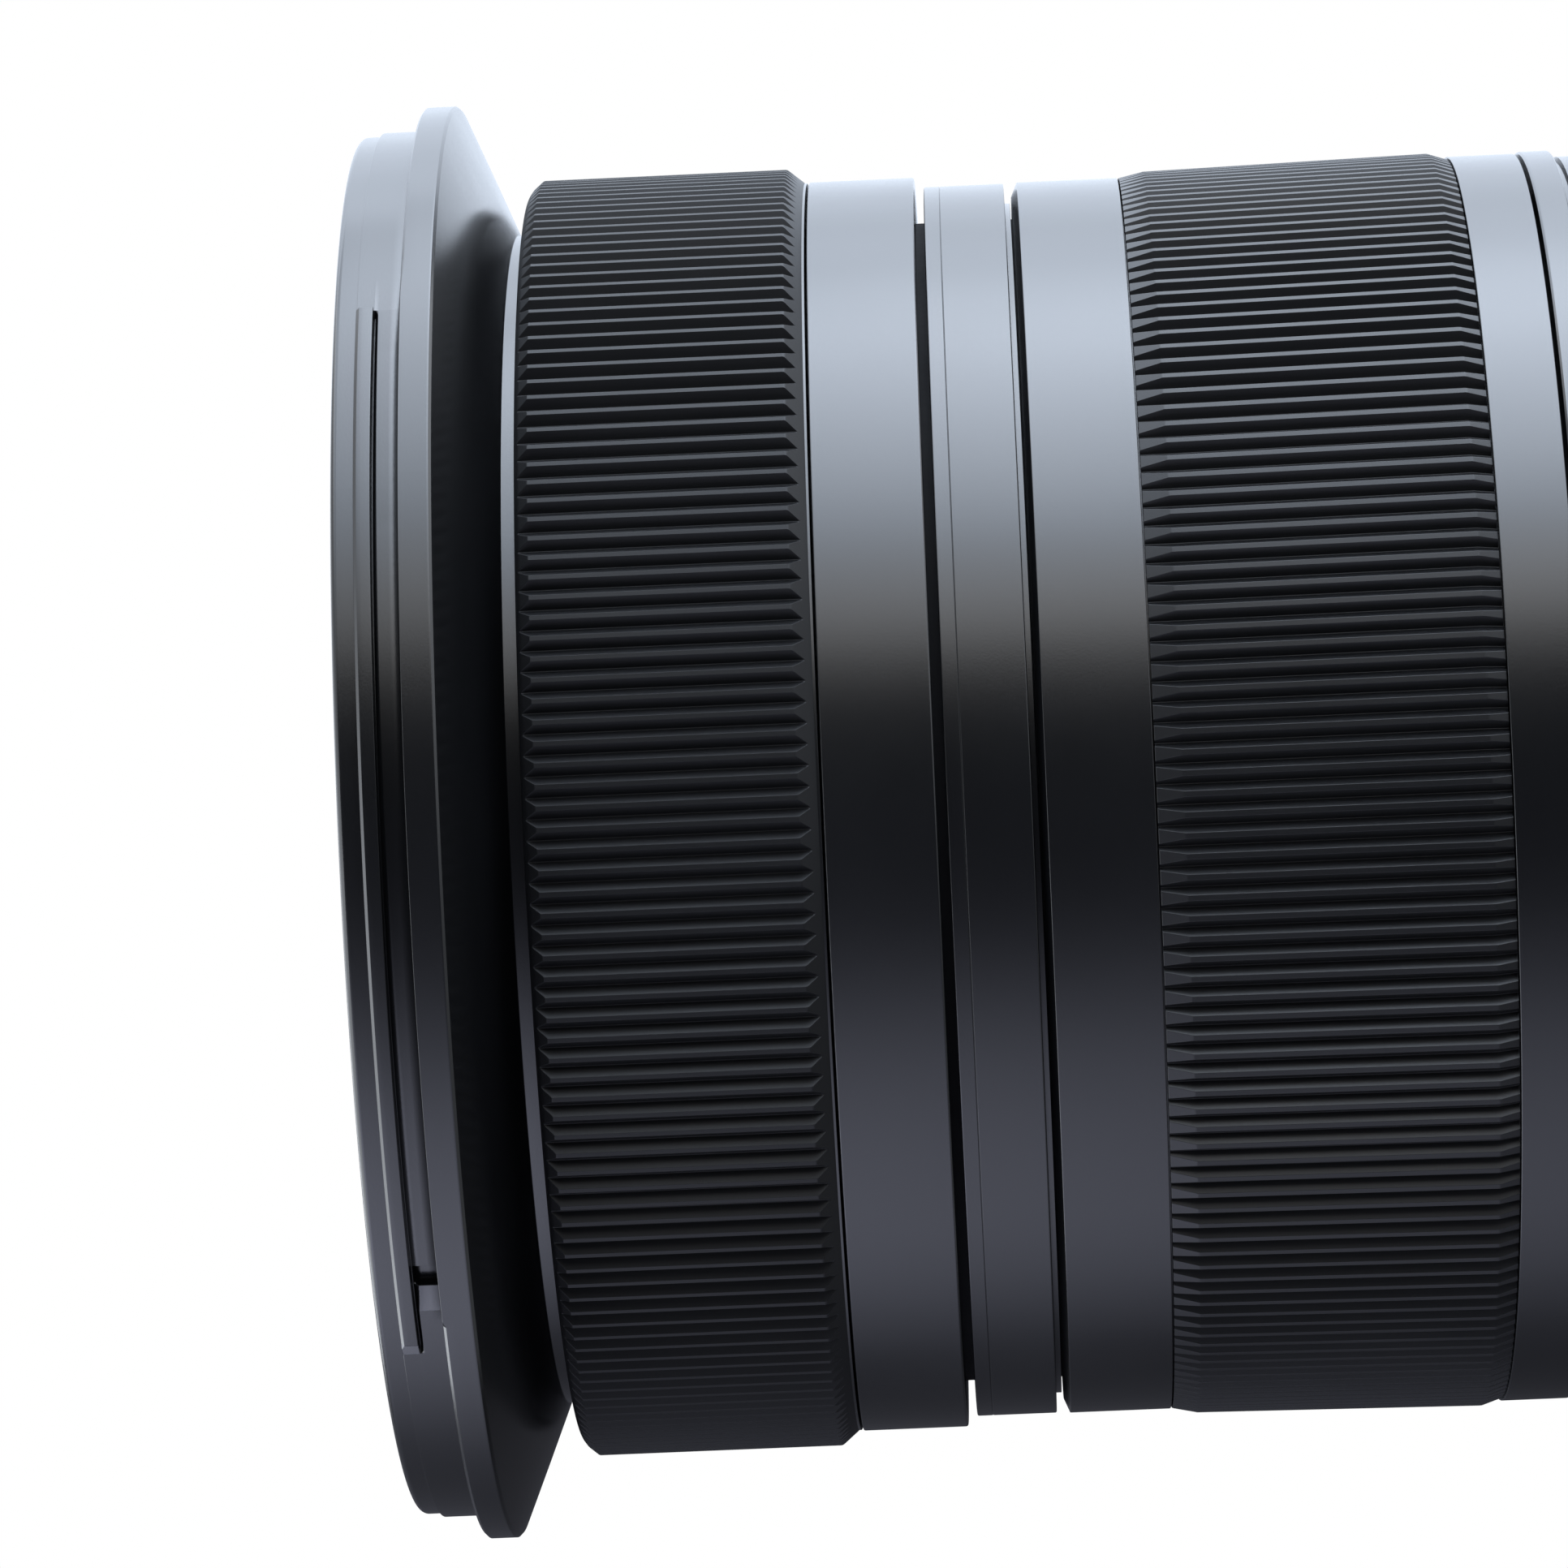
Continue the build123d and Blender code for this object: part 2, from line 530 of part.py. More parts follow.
with BuildPart() as zoom_grip:
    with BuildSketch(Plane.XY.offset(Z_H_F + 0.06)):
        with BuildLine():
            pts = []
            for k in range(N_RIBS):
                c = (k + 0.37) * step
                hc, hv = RIB_CREST / 2 / R_ZOOM_REAR, RIB_ROOT / 2 / R_ZOOM_REAR
                for da, rr in ((-hc, R_ZOOM_REAR), (hc, R_ZOOM_REAR), (step / 2 - hv, R_ZOOM_FRONT - RIB_DEPTH),
                               (step / 2 + hv, R_ZOOM_FRONT - RIB_DEPTH)):
                    pts.append((rr * math.cos(c + da), rr * math.sin(c + da)))
            Polyline(*pts, close=True)
        make_face()
        Circle(32.22, mode=Mode.SUBTRACT)
    extrude(amount=Z_G_R - Z_H_F - 0.12)
    with BuildSketch(Plane.XZ):
        with BuildLine():
            Polyline((32.0, Z_H_F), (R_BAND_H - 0.50, Z_H_F + 0.06), (R_BAND_H - 0.45, Z_H_F + 0.12), (R_ZOOM_REAR, Z_ZC2),
                     (R_ZOOM_FRONT, Z_ZC1), (R_BAND_G - 0.22, Z_G_R - 0.12), (R_BAND_G - 0.30, Z_G_R - 0.06), (32.0, Z_G_R),
                     close=True)
        make_face()
    revolve(axis=Axis.Z, mode=Mode.INTERSECT)
zoom_grip.part.label = "zoom_grip"
export_step(zoom_grip.part, "parts/zoom_grip.step")

SEG = 5
with BuildPart() as cam_barrel:
    with BuildSketch(Plane.XZ):
        with BuildLine():
            Polyline((R_CAM_IN, 36.5), (R_CAM_OUT, 36.5), (R_CAM_OUT, 76.0), (R_CAM_IN, 76.0), close=True)
        make_face()
    revolve(axis=Axis.Z)
    # three helical slots for each lens group, cut as tangent spans round the barrel
    for a0, zf, tr in ((A_G1, Z_G1, G1_TRAVEL), (A_G2, Z_G2, G2_TRAVEL), (A_G3, Z_G3, G3_TRAVEL)):
        span = ZOOM_ANGLE / SEG
        rm = (R_CAM_IN + R_CAM_OUT) / 2
        length = 2 * rm * math.tan(math.radians(span / 2))
        rise = tr / SEG
        for k in range(3):
            for s in range(SEG):
                mid_a = a0 + 120.0 * k - span * (s + 0.5)
                mid_z = zf + rise * (s + 0.5)
                with BuildSketch(wall(mid_a, mid_z, 27.5, -math.degrees(math.atan2(rise, length)))):
                    SlotCenterToCenter(math.hypot(length, rise), 2 * (R_FOLLOWER + 0.16))
    extrude(amount=2.9, mode=Mode.SUBTRACT)
    # seats of the key screws
    for side in (0.0, 180.0):
        for da in (-2.6, 2.6):
            with BuildSketch(wall(side + da, 51.5, 28.0)):
                Circle(0.72)
    extrude(amount=2.0, mode=Mode.SUBTRACT)
cam_barrel.part.label = "cam_barrel"
export_step(cam_barrel.part, "parts/cam_barrel.step")

with BuildPart() as zoom_keys:
    for side in (0.0, 180.0):
        with BuildSketch(ray(side - 5.0)):
            with BuildLine():
                Polyline((29.62, 49.7), (31.26, 49.7), (31.26, 53.3), (29.62, 53.3), close=True)
            make_face()
        revolve(axis=Axis.Z, revolution_arc=10.0)
    for side in (0.0, 180.0):
        for da in (-2.6, 2.6):
            with BuildSketch(wall(side + da, 51.5, 29.0)):
                Circle(0.72)
    extrude(amount=3.0, mode=Mode.SUBTRACT)
zoom_keys.part.label = "zoom_keys"
export_step(zoom_keys.part, "parts/zoom_keys.step")

with BuildPart() as key_screws:
    for side in (0.0, 180.0):
        for da in (-2.6, 2.6):
            with BuildSketch(wall(side + da, 51.5, 28.6)):
                Circle(0.70)
    extrude(amount=3.5)
key_screws.part.label = "key_screws"
export_step(key_screws.part, "parts/key_screws.step")

# ---------------------------------------------------------------------------
# first group
# ---------------------------------------------------------------------------
with BuildPart() as g1_cell:
    with BuildSketch(Plane.XZ):
        with BuildLine():
            Polyline((24.6, 71.5), (26.6, 71.5), (26.6, 79.8), (29.7, 79.8), (29.7, 94.0), (28.95, 94.0), (28.95, 91.6),
                     (28.05, 91.6), (28.05, 84.0), (21.55, 84.0), (21.55, 79.45), (19.25, 79.45), (19.25, 77.0), (18.0, 77.0),
                     (18.0, 76.0), (24.6, 76.0), close=True)
        make_face()
    revolve(axis=Axis.Z)
    for k in range(3):
        with BuildSketch(wall(A_G1 + 120.0 * k, Z_G1, 24.0)):
            Circle(R_FOLLOWER + 0.02)
    extrude(amount=3.0, mode=Mode.SUBTRACT)
g1_cell.part.label = "g1_cell"
export_step(g1_cell.part, "parts/g1_cell.step")

with BuildPart() as g1_followers:
    for k in range(3):
        with BuildSketch(wall(A_G1 + 120.0 * k, Z_G1, 24.8)):
            Circle(R_FOLLOWER)
    extrude(amount=4.6)
g1_followers.part.label = "g1_followers"
export_step(g1_followers.part, "parts/g1_followers.step")

with BuildPart() as front_element:
    with BuildSketch(Plane.XZ):
        with BuildLine():
            Line((0, 94.4), (0, 97.0))
            ThreePointArc((0, 97.0), (14.0, 97.0 - sag(14.0, 28.0, 5.5)), (28.0, 91.5))
            Line((28.0, 91.5), (28.0, 84.05))
            Line((28.0, 84.05), (22.0, 84.05))
            ThreePointArc((22.0, 84.05), (11.0, 94.4 - sag(11.0, 22.0, 10.35)), (0, 94.4))
        make_face()
    revolve(axis=Axis.Z)
front_element.part.label = "front_element"
export_step(front_element.part, "parts/front_element.step")

with BuildPart() as second_element:
    with BuildSketch(Plane.XZ):
        with BuildLine():
            Line((0, 85.2), (0, 87.2))
            ThreePointArc((0, 87.2), (10.5, 87.2 - sag(10.5, 21.5, 3.9)), (21.5, 83.3))
            Line((21.5, 83.3), (21.5, 79.5))
            Line((21.5, 79.5), (17.8, 79.5))
            ThreePointArc((17.8, 79.5), (9.0, 85.2 - sag(9.0, 17.8, 5.7)), (0, 85.2))
        make_face()
    revolve(axis=Axis.Z)
second_element.part.label = "second_element"
export_step(second_element.part, "parts/second_element.step")

with BuildPart() as third_element:
    with BuildSketch(Plane.XZ):
        with BuildLine():
            Line((0, 73.9), (0, 80.0))
            ThreePointArc((0, 80.0), (9.0, 80.0 - sag(9.0, 19.2, 1.8)), (19.2, 78.2))
            Line((19.2, 78.2), (19.2, 77.02))
            Line((19.2, 77.02), (17.8, 77.02))
            ThreePointArc((17.8, 77.02), (9.0, 73.9 + sag(9.0, 17.8, 3.12)), (0, 73.9))
        make_face()
    revolve(axis=Axis.Z)
third_element.part.label = "third_element"
export_step(third_element.part, "parts/third_element.step")

with BuildPart() as front_retainer:
    with BuildSketch(Plane.XZ):
        with BuildLine():
            Polyline((27.0, 92.05), (28.9, 92.05), (28.9, 93.7), (28.2, 93.7), (27.0, 92.5), close=True)
        make_face()
    revolve(axis=Axis.Z)
front_retainer.part.label = "front_retainer"
export_step(front_retainer.part, "parts/front_retainer.step")

# ---------------------------------------------------------------------------
# second group
# ---------------------------------------------------------------------------
with BuildPart() as g2_cell:
    with BuildSketch(Plane.XZ):
        with BuildLine():
            Polyline((24.8, 50.0), (26.6, 50.0), (26.6, 62.0), (24.8, 62.0), (24.8, 57.4), (17.8, 57.4), (17.8, 61.6),
                     (16.55, 61.6), (16.55, 58.2), (15.0, 58.2), (15.0, 57.2), (15.55, 57.2), (15.55, 50.4), (17.0, 50.4),
                     (17.0, 54.6), (24.8, 54.6), close=True)
        make_face()
    revolve(axis=Axis.Z)
    for k in range(3):
        with BuildSketch(wall(A_G2 + 120.0 * k, Z_G2, 24.0)):
            Circle(R_FOLLOWER + 0.02)
    extrude(amount=3.0, mode=Mode.SUBTRACT)
g2_cell.part.label = "g2_cell"
export_step(g2_cell.part, "parts/g2_cell.step")

with BuildPart() as g2_followers:
    for k in range(3):
        with BuildSketch(wall(A_G2 + 120.0 * k, Z_G2, 24.9)):
            Circle(R_FOLLOWER)
    extrude(amount=4.5)
g2_followers.part.label = "g2_followers"
export_step(g2_followers.part, "parts/g2_followers.step")

with BuildPart() as fourth_element:
    with BuildSketch(Plane.XZ):
        with BuildLine():
            Line((0, 58.6), (0, 63.4))
            ThreePointArc((0, 63.4), (8.0, 63.4 - sag(8.0, 16.5, 3.2)), (16.5, 60.2))
            Line((16.5, 60.2), (16.5, 58.25))
            Line((16.5, 58.25), (14.8, 58.25))
            ThreePointArc((14.8, 58.25), (7.0, 58.6 - sag(7.0, 14.8, 0.35)), (0, 58.6))
        make_face()
    revolve(axis=Axis.Z)
fourth_element.part.label = "fourth_element"
export_step(fourth_element.part, "parts/fourth_element.step")

with BuildPart() as fifth_element:
    with BuildSketch(Plane.XZ):
        with BuildLine():
            Line((0, 52.2), (0, 57.6))
            ThreePointArc((0, 57.6), (7.0, 57.6 - sag(7.0, 14.9, 0.9)), (14.9, 56.7))
            Line((14.9, 56.7), (15.5, 56.7))
            Line((15.5, 56.7), (15.5, 50.8))
            ThreePointArc((15.5, 50.8), (7.0, 52.2 - sag(7.0, 15.5, 1.4)), (0, 52.2))
        make_face()
    revolve(axis=Axis.Z)
fifth_element.part.label = "fifth_element"
export_step(fifth_element.part, "parts/fifth_element.step")

# ---------------------------------------------------------------------------
# third group with the iris
# ---------------------------------------------------------------------------
with BuildPart() as g3_cell:
    with BuildSketch(Plane.XZ):
        with BuildLine():
            Polyline((24.8, 34.2), (26.6, 34.2), (26.6, 46.0), (24.8, 46.0), (24.8, 43.8), (13.2, 43.8), (13.2, 46.2),
                     (12.0, 46.2), (12.0, 42.5), (24.8, 42.5), close=True)
        make_face()
    revolve(axis=Axis.Z)
    for k in range(3):
        with BuildSketch(wall(A_G3 + 120.0 * k, Z_G3, 24.0)):
            Circle(R_FOLLOWER + 0.02)
    extrude(amount=3.0, mode=Mode.SUBTRACT)
g3_cell.part.label = "g3_cell"
export_step(g3_cell.part, "parts/g3_cell.step")

with BuildPart() as g3_followers:
    for k in range(3):
        with BuildSketch(wall(A_G3 + 120.0 * k, Z_G3, 24.9)):
            Circle(R_FOLLOWER)
    extrude(amount=4.5)
g3_followers.part.label = "g3_followers"
export_step(g3_followers.part, "parts/g3_followers.step")

with BuildPart() as sixth_element:
    with BuildSketch(Plane.XZ):
        with BuildLine():
            Line((0, 42.8), (0, 47.6))
            ThreePointArc((0, 47.6), (6.0, 47.6 - sag(6.0, 11.95, 1.6)), (11.95, 46.0))
            Line((11.95, 46.0), (11.95, 43.4))
            ThreePointArc((11.95, 43.4), (6.0, 42.8 + sag(6.0, 11.95, 0.6)), (0, 42.8))
        make_face()
    revolve(axis=Axis.Z)
sixth_element.part.label = "sixth_element"
export_step(sixth_element.part, "parts/sixth_element.step")

with BuildPart() as iris_base:
    with BuildSketch(Plane.XZ):
        with BuildLine():
            Polyline((11.8, 41.62), (22.7, 41.62), (22.7, 38.2), (23.6, 38.2), (23.6, 42.45), (11.8, 42.45), close=True)
        make_face()
    revolve(axis=Axis.Z)
    with BuildSketch(Plane.XY.offset(41.5)):
        with PolarLocations(R_PIVOT, N_BLADES):
            Circle(PIN_R + 0.06)
    extrude(amount=1.2, mode=Mode.SUBTRACT)
iris_base.part.label = "iris_base"
export_step(iris_base.part, "parts/iris_base.step")

with BuildPart() as iris_cover:
    with BuildSketch(Plane.XZ):
        with BuildLine():
            Polyline((12.0, 34.4), (13.4, 34.4), (13.4, 37.25), (23.6, 37.25), (23.6, 38.18), (22.65, 38.18), (22.65, 39.0),
                     (11.6, 39.0), (11.6, 38.0), (12.0, 38.0), close=True)
        make_face()
    revolve(axis=Axis.Z)
iris_cover.part.label = "iris_cover"
export_step(iris_cover.part, "parts/iris_cover.step")

with BuildPart() as seventh_element:
    with BuildSketch(Plane.XZ):
        with BuildLine():
            Line((0, 35.4), (0, 37.6))
            ThreePointArc((0, 37.6), (6.0, 37.6 + sag(6.0, 11.5, 0.35)), (11.5, 37.95))
            Line((11.5, 37.95), (11.95, 37.95))
            Line((11.95, 37.95), (11.95, 34.6))
            ThreePointArc((11.95, 34.6), (6.0, 35.4 - sag(6.0, 11.95, 0.8)), (0, 35.4))
        make_face()
    revolve(axis=Axis.Z)
seventh_element.part.label = "seventh_element"
export_step(seventh_element.part, "parts/seventh_element.step")

# path of a blade's drive pin as the drive ring sees it
DRIVE_A = 9.0
qx, qy = polar(R_PIVOT, DRIVE_A)
track = []
for n in range(9):
    f = n / 8.0
    t, p = math.radians(BLADE_TURN * f), math.radians(RING_TURN * f)
    dx, dy = qx - R_PIVOT, qy
    bx, by = R_PIVOT + dx * math.cos(t) - dy * math.sin(t), dx * math.sin(t) + dy * math.cos(t)
    track.append((bx * math.cos(-p) - by * math.sin(-p), bx * math.sin(-p) + by * math.cos(-p)))

with BuildPart() as iris_ring:
    with BuildSketch(Plane.XY.offset(39.25)):
        Circle(22.3)
        Circle(12.2, mode=Mode.SUBTRACT)
        for b in range(N_BLADES):
            ba = 360.0 / N_BLADES * b
            for (x0, y0), (x1, y1) in zip(track[:-1], track[1:]):
                mx, my = (x0 + x1) / 2, (y0 + y1) / 2
                ca, sa = math.cos(math.radians(ba)), math.sin(math.radians(ba))
                with Locations((mx * ca - my * sa, mx * sa + my * ca)):
                    SlotCenterToCenter(math.hypot(x1 - x0, y1 - y0), 2 * (PIN_R + 0.12),
                                       rotation=ba + math.degrees(math.atan2(y1 - y0, x1 - x0)), mode=Mode.SUBTRACT)
    extrude(amount=0.9)
iris_ring.part.label = "iris_ring"
export_step(iris_ring.part, "parts/iris_ring.step")

for b in range(N_BLADES):
    ba = 360.0 / N_BLADES * b
    zb = Z_BLADE + BLADE_PITCH * b
    with BuildPart() as blade:
        with BuildSketch(Plane.XY.offset(zb)):
            with BuildLine():
                inner0, inner1 = polar(11.6, ba + 2.0), polar(11.6, ba + 92.0)
                outer0, outer1 = polar(17.4, ba - 4.0), polar(16.6, ba + 86.0)
                ThreePointArc(inner0, polar(11.6, ba + 47.0), inner1)
                Line(inner1, outer1)
                ThreePointArc(outer1, polar(17.3, ba + 41.0), outer0)
                Line(outer0, inner0)
            make_face()
            with Locations(polar(R_PIVOT, ba)):
                Circle(1.3)
            with Locations(polar(R_PIVOT, ba + DRIVE_A)):
                Circle(1.1)
            with BuildLine():
                Polyline(polar(16.5, ba - 2.5), polar(R_PIVOT + 0.5, ba - 2.8), polar(R_PIVOT + 0.6, ba + DRIVE_A + 1.5),
                         polar(16.5, ba + DRIVE_A + 3.0), close=True)
            make_face()
        extrude(amount=BLADE_T)
        with BuildSketch(Plane.XY.offset(zb + BLADE_T / 2)):
            with Locations(polar(R_PIVOT, ba)):
                Circle(PIN_R)
        extrude(amount=42.35 - zb - BLADE_T / 2)
        with BuildSketch(Plane.XY.offset(39.4)):
            with Locations(polar(R_PIVOT, ba + DRIVE_A)):
                Circle(PIN_R)
        extrude(amount=zb + BLADE_T / 2 - 39.4)
    blade.part.label = f"iris_blade_{b + 1}"
    export_step(blade.part, f"parts/iris_blade_{b + 1}.step")

# ---------------------------------------------------------------------------
# focus group
# ---------------------------------------------------------------------------
with BuildPart() as focus_cell:
    with BuildSketch(Plane.XZ):
        with BuildLine():
            Polyline((14.0, 19.4), (15.6, 19.4), (15.6, 26.8), (13.2, 26.8), (13.2, 25.8), (14.0, 25.8), close=True)
        make_face()
    revolve(axis=Axis.Z)
    # arms out to the two rods and the nut
    for a, w, z0, z1 in ((A_ROD[0], 3.2, 18.4, 27.6), (A_ROD[1], 3.2, 21.0, 25.0), (A_SCREW, 3.4, 21.0, 25.0)):
        with BuildSketch(Plane.XY.offset(z0)):
            with Locations(Location((*polar(19.3, a), 0), (0, 0, 1), a)):
                Rectangle(9.8, w)
            with Locations(polar(R_ROD, a)):
                Circle(2.2)
        extrude(amount=z1 - z0)
    with BuildSketch(Plane.XY.offset(18.0)):
        with Locations(polar(R_ROD, A_ROD[0])):
            Circle(ROD_R + 0.05)
        with Locations(polar(R_SCREW, A_SCREW)):
            Circle(SCREW_R + 0.25)
        with Locations(Location((*polar(R_ROD + 2.0, A_ROD[1]), 0), (0, 0, 1), A_ROD[1])):
            Rectangle(2 * (ROD_R + 0.06) + 4.0, 2 * (ROD_R + 0.06))
    extrude(amount=10.0, mode=Mode.SUBTRACT)
    # keep the bore of the cell clear
    with BuildSketch(Plane.XY.offset(18.0)):
        Circle(14.0)
    extrude(amount=7.8, mode=Mode.SUBTRACT)
focus_cell.part.label = "focus_cell"
export_step(focus_cell.part, "parts/focus_cell.step")

with BuildPart() as focus_element:
    with BuildSketch(Plane.XZ):
        with BuildLine():
            Line((0, 22.4), (0, 24.6))
            ThreePointArc((0, 24.6), (6.5, 24.6 + sag(6.5, 13.0, 1.0)), (13.0, 25.6))
            Line((13.0, 25.6), (13.95, 25.6))
            Line((13.95, 25.6), (13.95, 20.6))
            ThreePointArc((13.95, 20.6), (6.5, 22.4 - sag(6.5, 13.95, 1.8)), (0, 22.4))
        make_face()
    revolve(axis=Axis.Z)
focus_element.part.label = "focus_element"
export_step(focus_element.part, "parts/focus_element.step")
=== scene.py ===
import bpy
import math
import numpy as np
from mathutils import Matrix, Vector


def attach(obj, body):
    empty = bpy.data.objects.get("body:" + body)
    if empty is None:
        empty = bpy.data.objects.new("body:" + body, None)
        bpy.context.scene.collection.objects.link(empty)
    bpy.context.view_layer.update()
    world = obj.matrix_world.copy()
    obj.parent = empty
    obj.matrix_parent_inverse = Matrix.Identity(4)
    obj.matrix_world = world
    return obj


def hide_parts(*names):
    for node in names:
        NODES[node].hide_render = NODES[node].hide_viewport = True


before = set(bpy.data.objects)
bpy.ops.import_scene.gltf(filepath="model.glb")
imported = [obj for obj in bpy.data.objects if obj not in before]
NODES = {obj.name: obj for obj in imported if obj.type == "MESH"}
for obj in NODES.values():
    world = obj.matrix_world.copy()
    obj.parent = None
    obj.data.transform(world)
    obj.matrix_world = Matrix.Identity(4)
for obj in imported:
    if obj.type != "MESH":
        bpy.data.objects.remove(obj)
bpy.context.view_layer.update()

MM = 0.001
LENGTH = 100.6


# ---------------------------------------------------------------------------
# mesh helpers: profiles are (r, z, fillet) in millimetres
# ---------------------------------------------------------------------------
def new_mesh(name, verts, faces, normals=None):
    me = bpy.data.meshes.new(name)
    verts = np.asarray(verts, dtype=np.float64)
    faces = np.asarray(faces, dtype=np.int64)
    nf, k = faces.shape
    me.vertices.add(len(verts))
    me.vertices.foreach_set("co", (verts * MM).astype(np.float32).ravel())
    me.loops.add(nf * k)
    me.loops.foreach_set("vertex_index", faces.astype(np.int32).ravel())
    me.polygons.add(nf)
    me.polygons.foreach_set("loop_start", np.arange(0, nf * k, k, dtype=np.int32))
    me.polygons.foreach_set("use_smooth", np.ones(nf, dtype=bool))
    me.update(calc_edges=True)
    if normals is not None:
        n = np.asarray(normals, dtype=np.float64)
        n = n / np.maximum(np.linalg.norm(n, axis=1, keepdims=True), 1e-12)
        me.normals_split_custom_set_from_vertices([tuple(v) for v in n])
    ob = bpy.data.objects.new(name, me)
    bpy.context.scene.collection.objects.link(ob)
    return ob


def area_normals(verts, faces):
    """Vertex normals weighted by face area, so that large faces stay flat beside small fillets."""
    v = np.asarray(verts, float)
    f = np.asarray(faces)
    d1 = v[f[:, 2]] - v[f[:, 0]]
    d2 = v[f[:, 3]] - v[f[:, 1]]
    fn = np.cross(d1, d2)
    out = np.zeros_like(v)
    for c in range(4):
        np.add.at(out, f[:, c], fn)
    return out


def rounded(pts, seg=4):
    """Closed profile of (r, z, fillet) -> list of (r, z, nr, nz); a corner without a fillet is doubled."""
    p = [(float(a[0]), float(a[1])) for a in pts]
    fil = [float(a[2]) if len(a) > 2 else 0.0 for a in pts]
    n = len(p)
    area = sum(p[i][0] * p[(i + 1) % n][1] - p[(i + 1) % n][0] * p[i][1] for i in range(n))
    s = 1.0 if area > 0 else -1.0
    out = []
    for i in range(n):
        a, b, c = p[i - 1], p[i], p[(i + 1) % n]
        l0 = math.hypot(b[0] - a[0], b[1] - a[1])
        l1 = math.hypot(c[0] - b[0], c[1] - b[1])
        d0 = ((b[0] - a[0]) / l0, (b[1] - a[1]) / l0)
        d1 = ((c[0] - b[0]) / l1, (c[1] - b[1]) / l1)
        n0 = (s * d0[1], -s * d0[0])
        n1 = (s * d1[1], -s * d1[0])
        turn = math.atan2(d0[0] * d1[1] - d0[1] * d1[0], d0[0] * d1[0] + d0[1] * d1[1])
        if fil[i] <= 0 or abs(turn) < 0.01:
            out.append((b[0], b[1], n0[0], n0[1]))
            if abs(turn) >= 0.01:
                out.append((b[0], b[1], n1[0], n1[1]))
            continue
        t = min(fil[i] * math.tan(abs(turn) / 2), 0.46 * l0, 0.46 * l1)
        f = t / math.tan(abs(turn) / 2)
        convex = 1.0 if turn * s > 0 else -1.0
        st = (b[0] - d0[0] * t, b[1] - d0[1] * t)
        ctr = (st[0] - convex * f * n0[0], st[1] - convex * f * n0[1])
        k = max(2, int(round(seg * abs(turn) / (math.pi / 2))) + 1)
        a0 = math.atan2(n0[1], n0[0])
        for j in range(k + 1):
            an = a0 + turn * j / k
            nr, nz = math.cos(an), math.sin(an)
            out.append((ctr[0] + convex * f * nr, ctr[1] + convex * f * nz, nr, nz))
    return out, s


def lathe(name, pts, n=720, seg=4):
    prof, s = rounded(pts, seg)
    m = len(prof)
    th = np.arange(n) * 2 * np.pi / n
    c, sn = np.cos(th), np.sin(th)
    pr = np.array(prof)
    verts = np.stack([np.outer(c, pr[:, 0]), np.outer(sn, pr[:, 0]), np.tile(pr[:, 1], (n, 1))], -1).reshape(-1, 3)
    norms = np.stack([np.outer(c, pr[:, 2]), np.outer(sn, pr[:, 2]), np.tile(pr[:, 3], (n, 1))], -1).reshape(-1, 3)
    keep = [i for i in range(m) if math.hypot(pr[i, 0] - pr[(i + 1) % m, 0], pr[i, 1] - pr[(i + 1) % m, 1]) > 1e-7]
    k = np.arange(n)[:, None]
    i = np.array(keep)[None, :]
    k2, i2 = (k + 1) % n, (i + 1) % m
    a, b, cc, d = k * m + i, k2 * m + i, k2 * m + i2, k * m + i2
    quad = np.stack([a, b, cc, d] if s > 0 else [d, cc, b, a], -1).reshape(-1, 4)
    return new_mesh(name, verts, quad, norms)


def disc_lathe(name, pts, n=256, seg=4):
    """Open profile from the axis out and back to the axis: (r, z, fillet)."""
    r0 = 0.02
    q = [(max(a[0], r0),) + tuple(a[1:]) for a in pts]
    return lathe(name, q, n, seg)


def sphere_arc(r_edge, z_edge, z_apex, steps=14, r_in=0.0):
    """Points of a spherical cap from the edge to the axis, as (r, z, fillet 0) without doubled corners."""
    h = z_apex - z_edge
    big = (r_edge ** 2 + h ** 2) / (2 * abs(h))
    out = []
    for j in range(steps + 1):
        r = r_edge * math.cos(j / steps * math.pi / 2) if r_in == 0 else r_edge + (r_in - r_edge) * j / steps
        z = z_apex - math.copysign(big - math.sqrt(big * big - r * r), h)
        out.append((r, z))
    return out


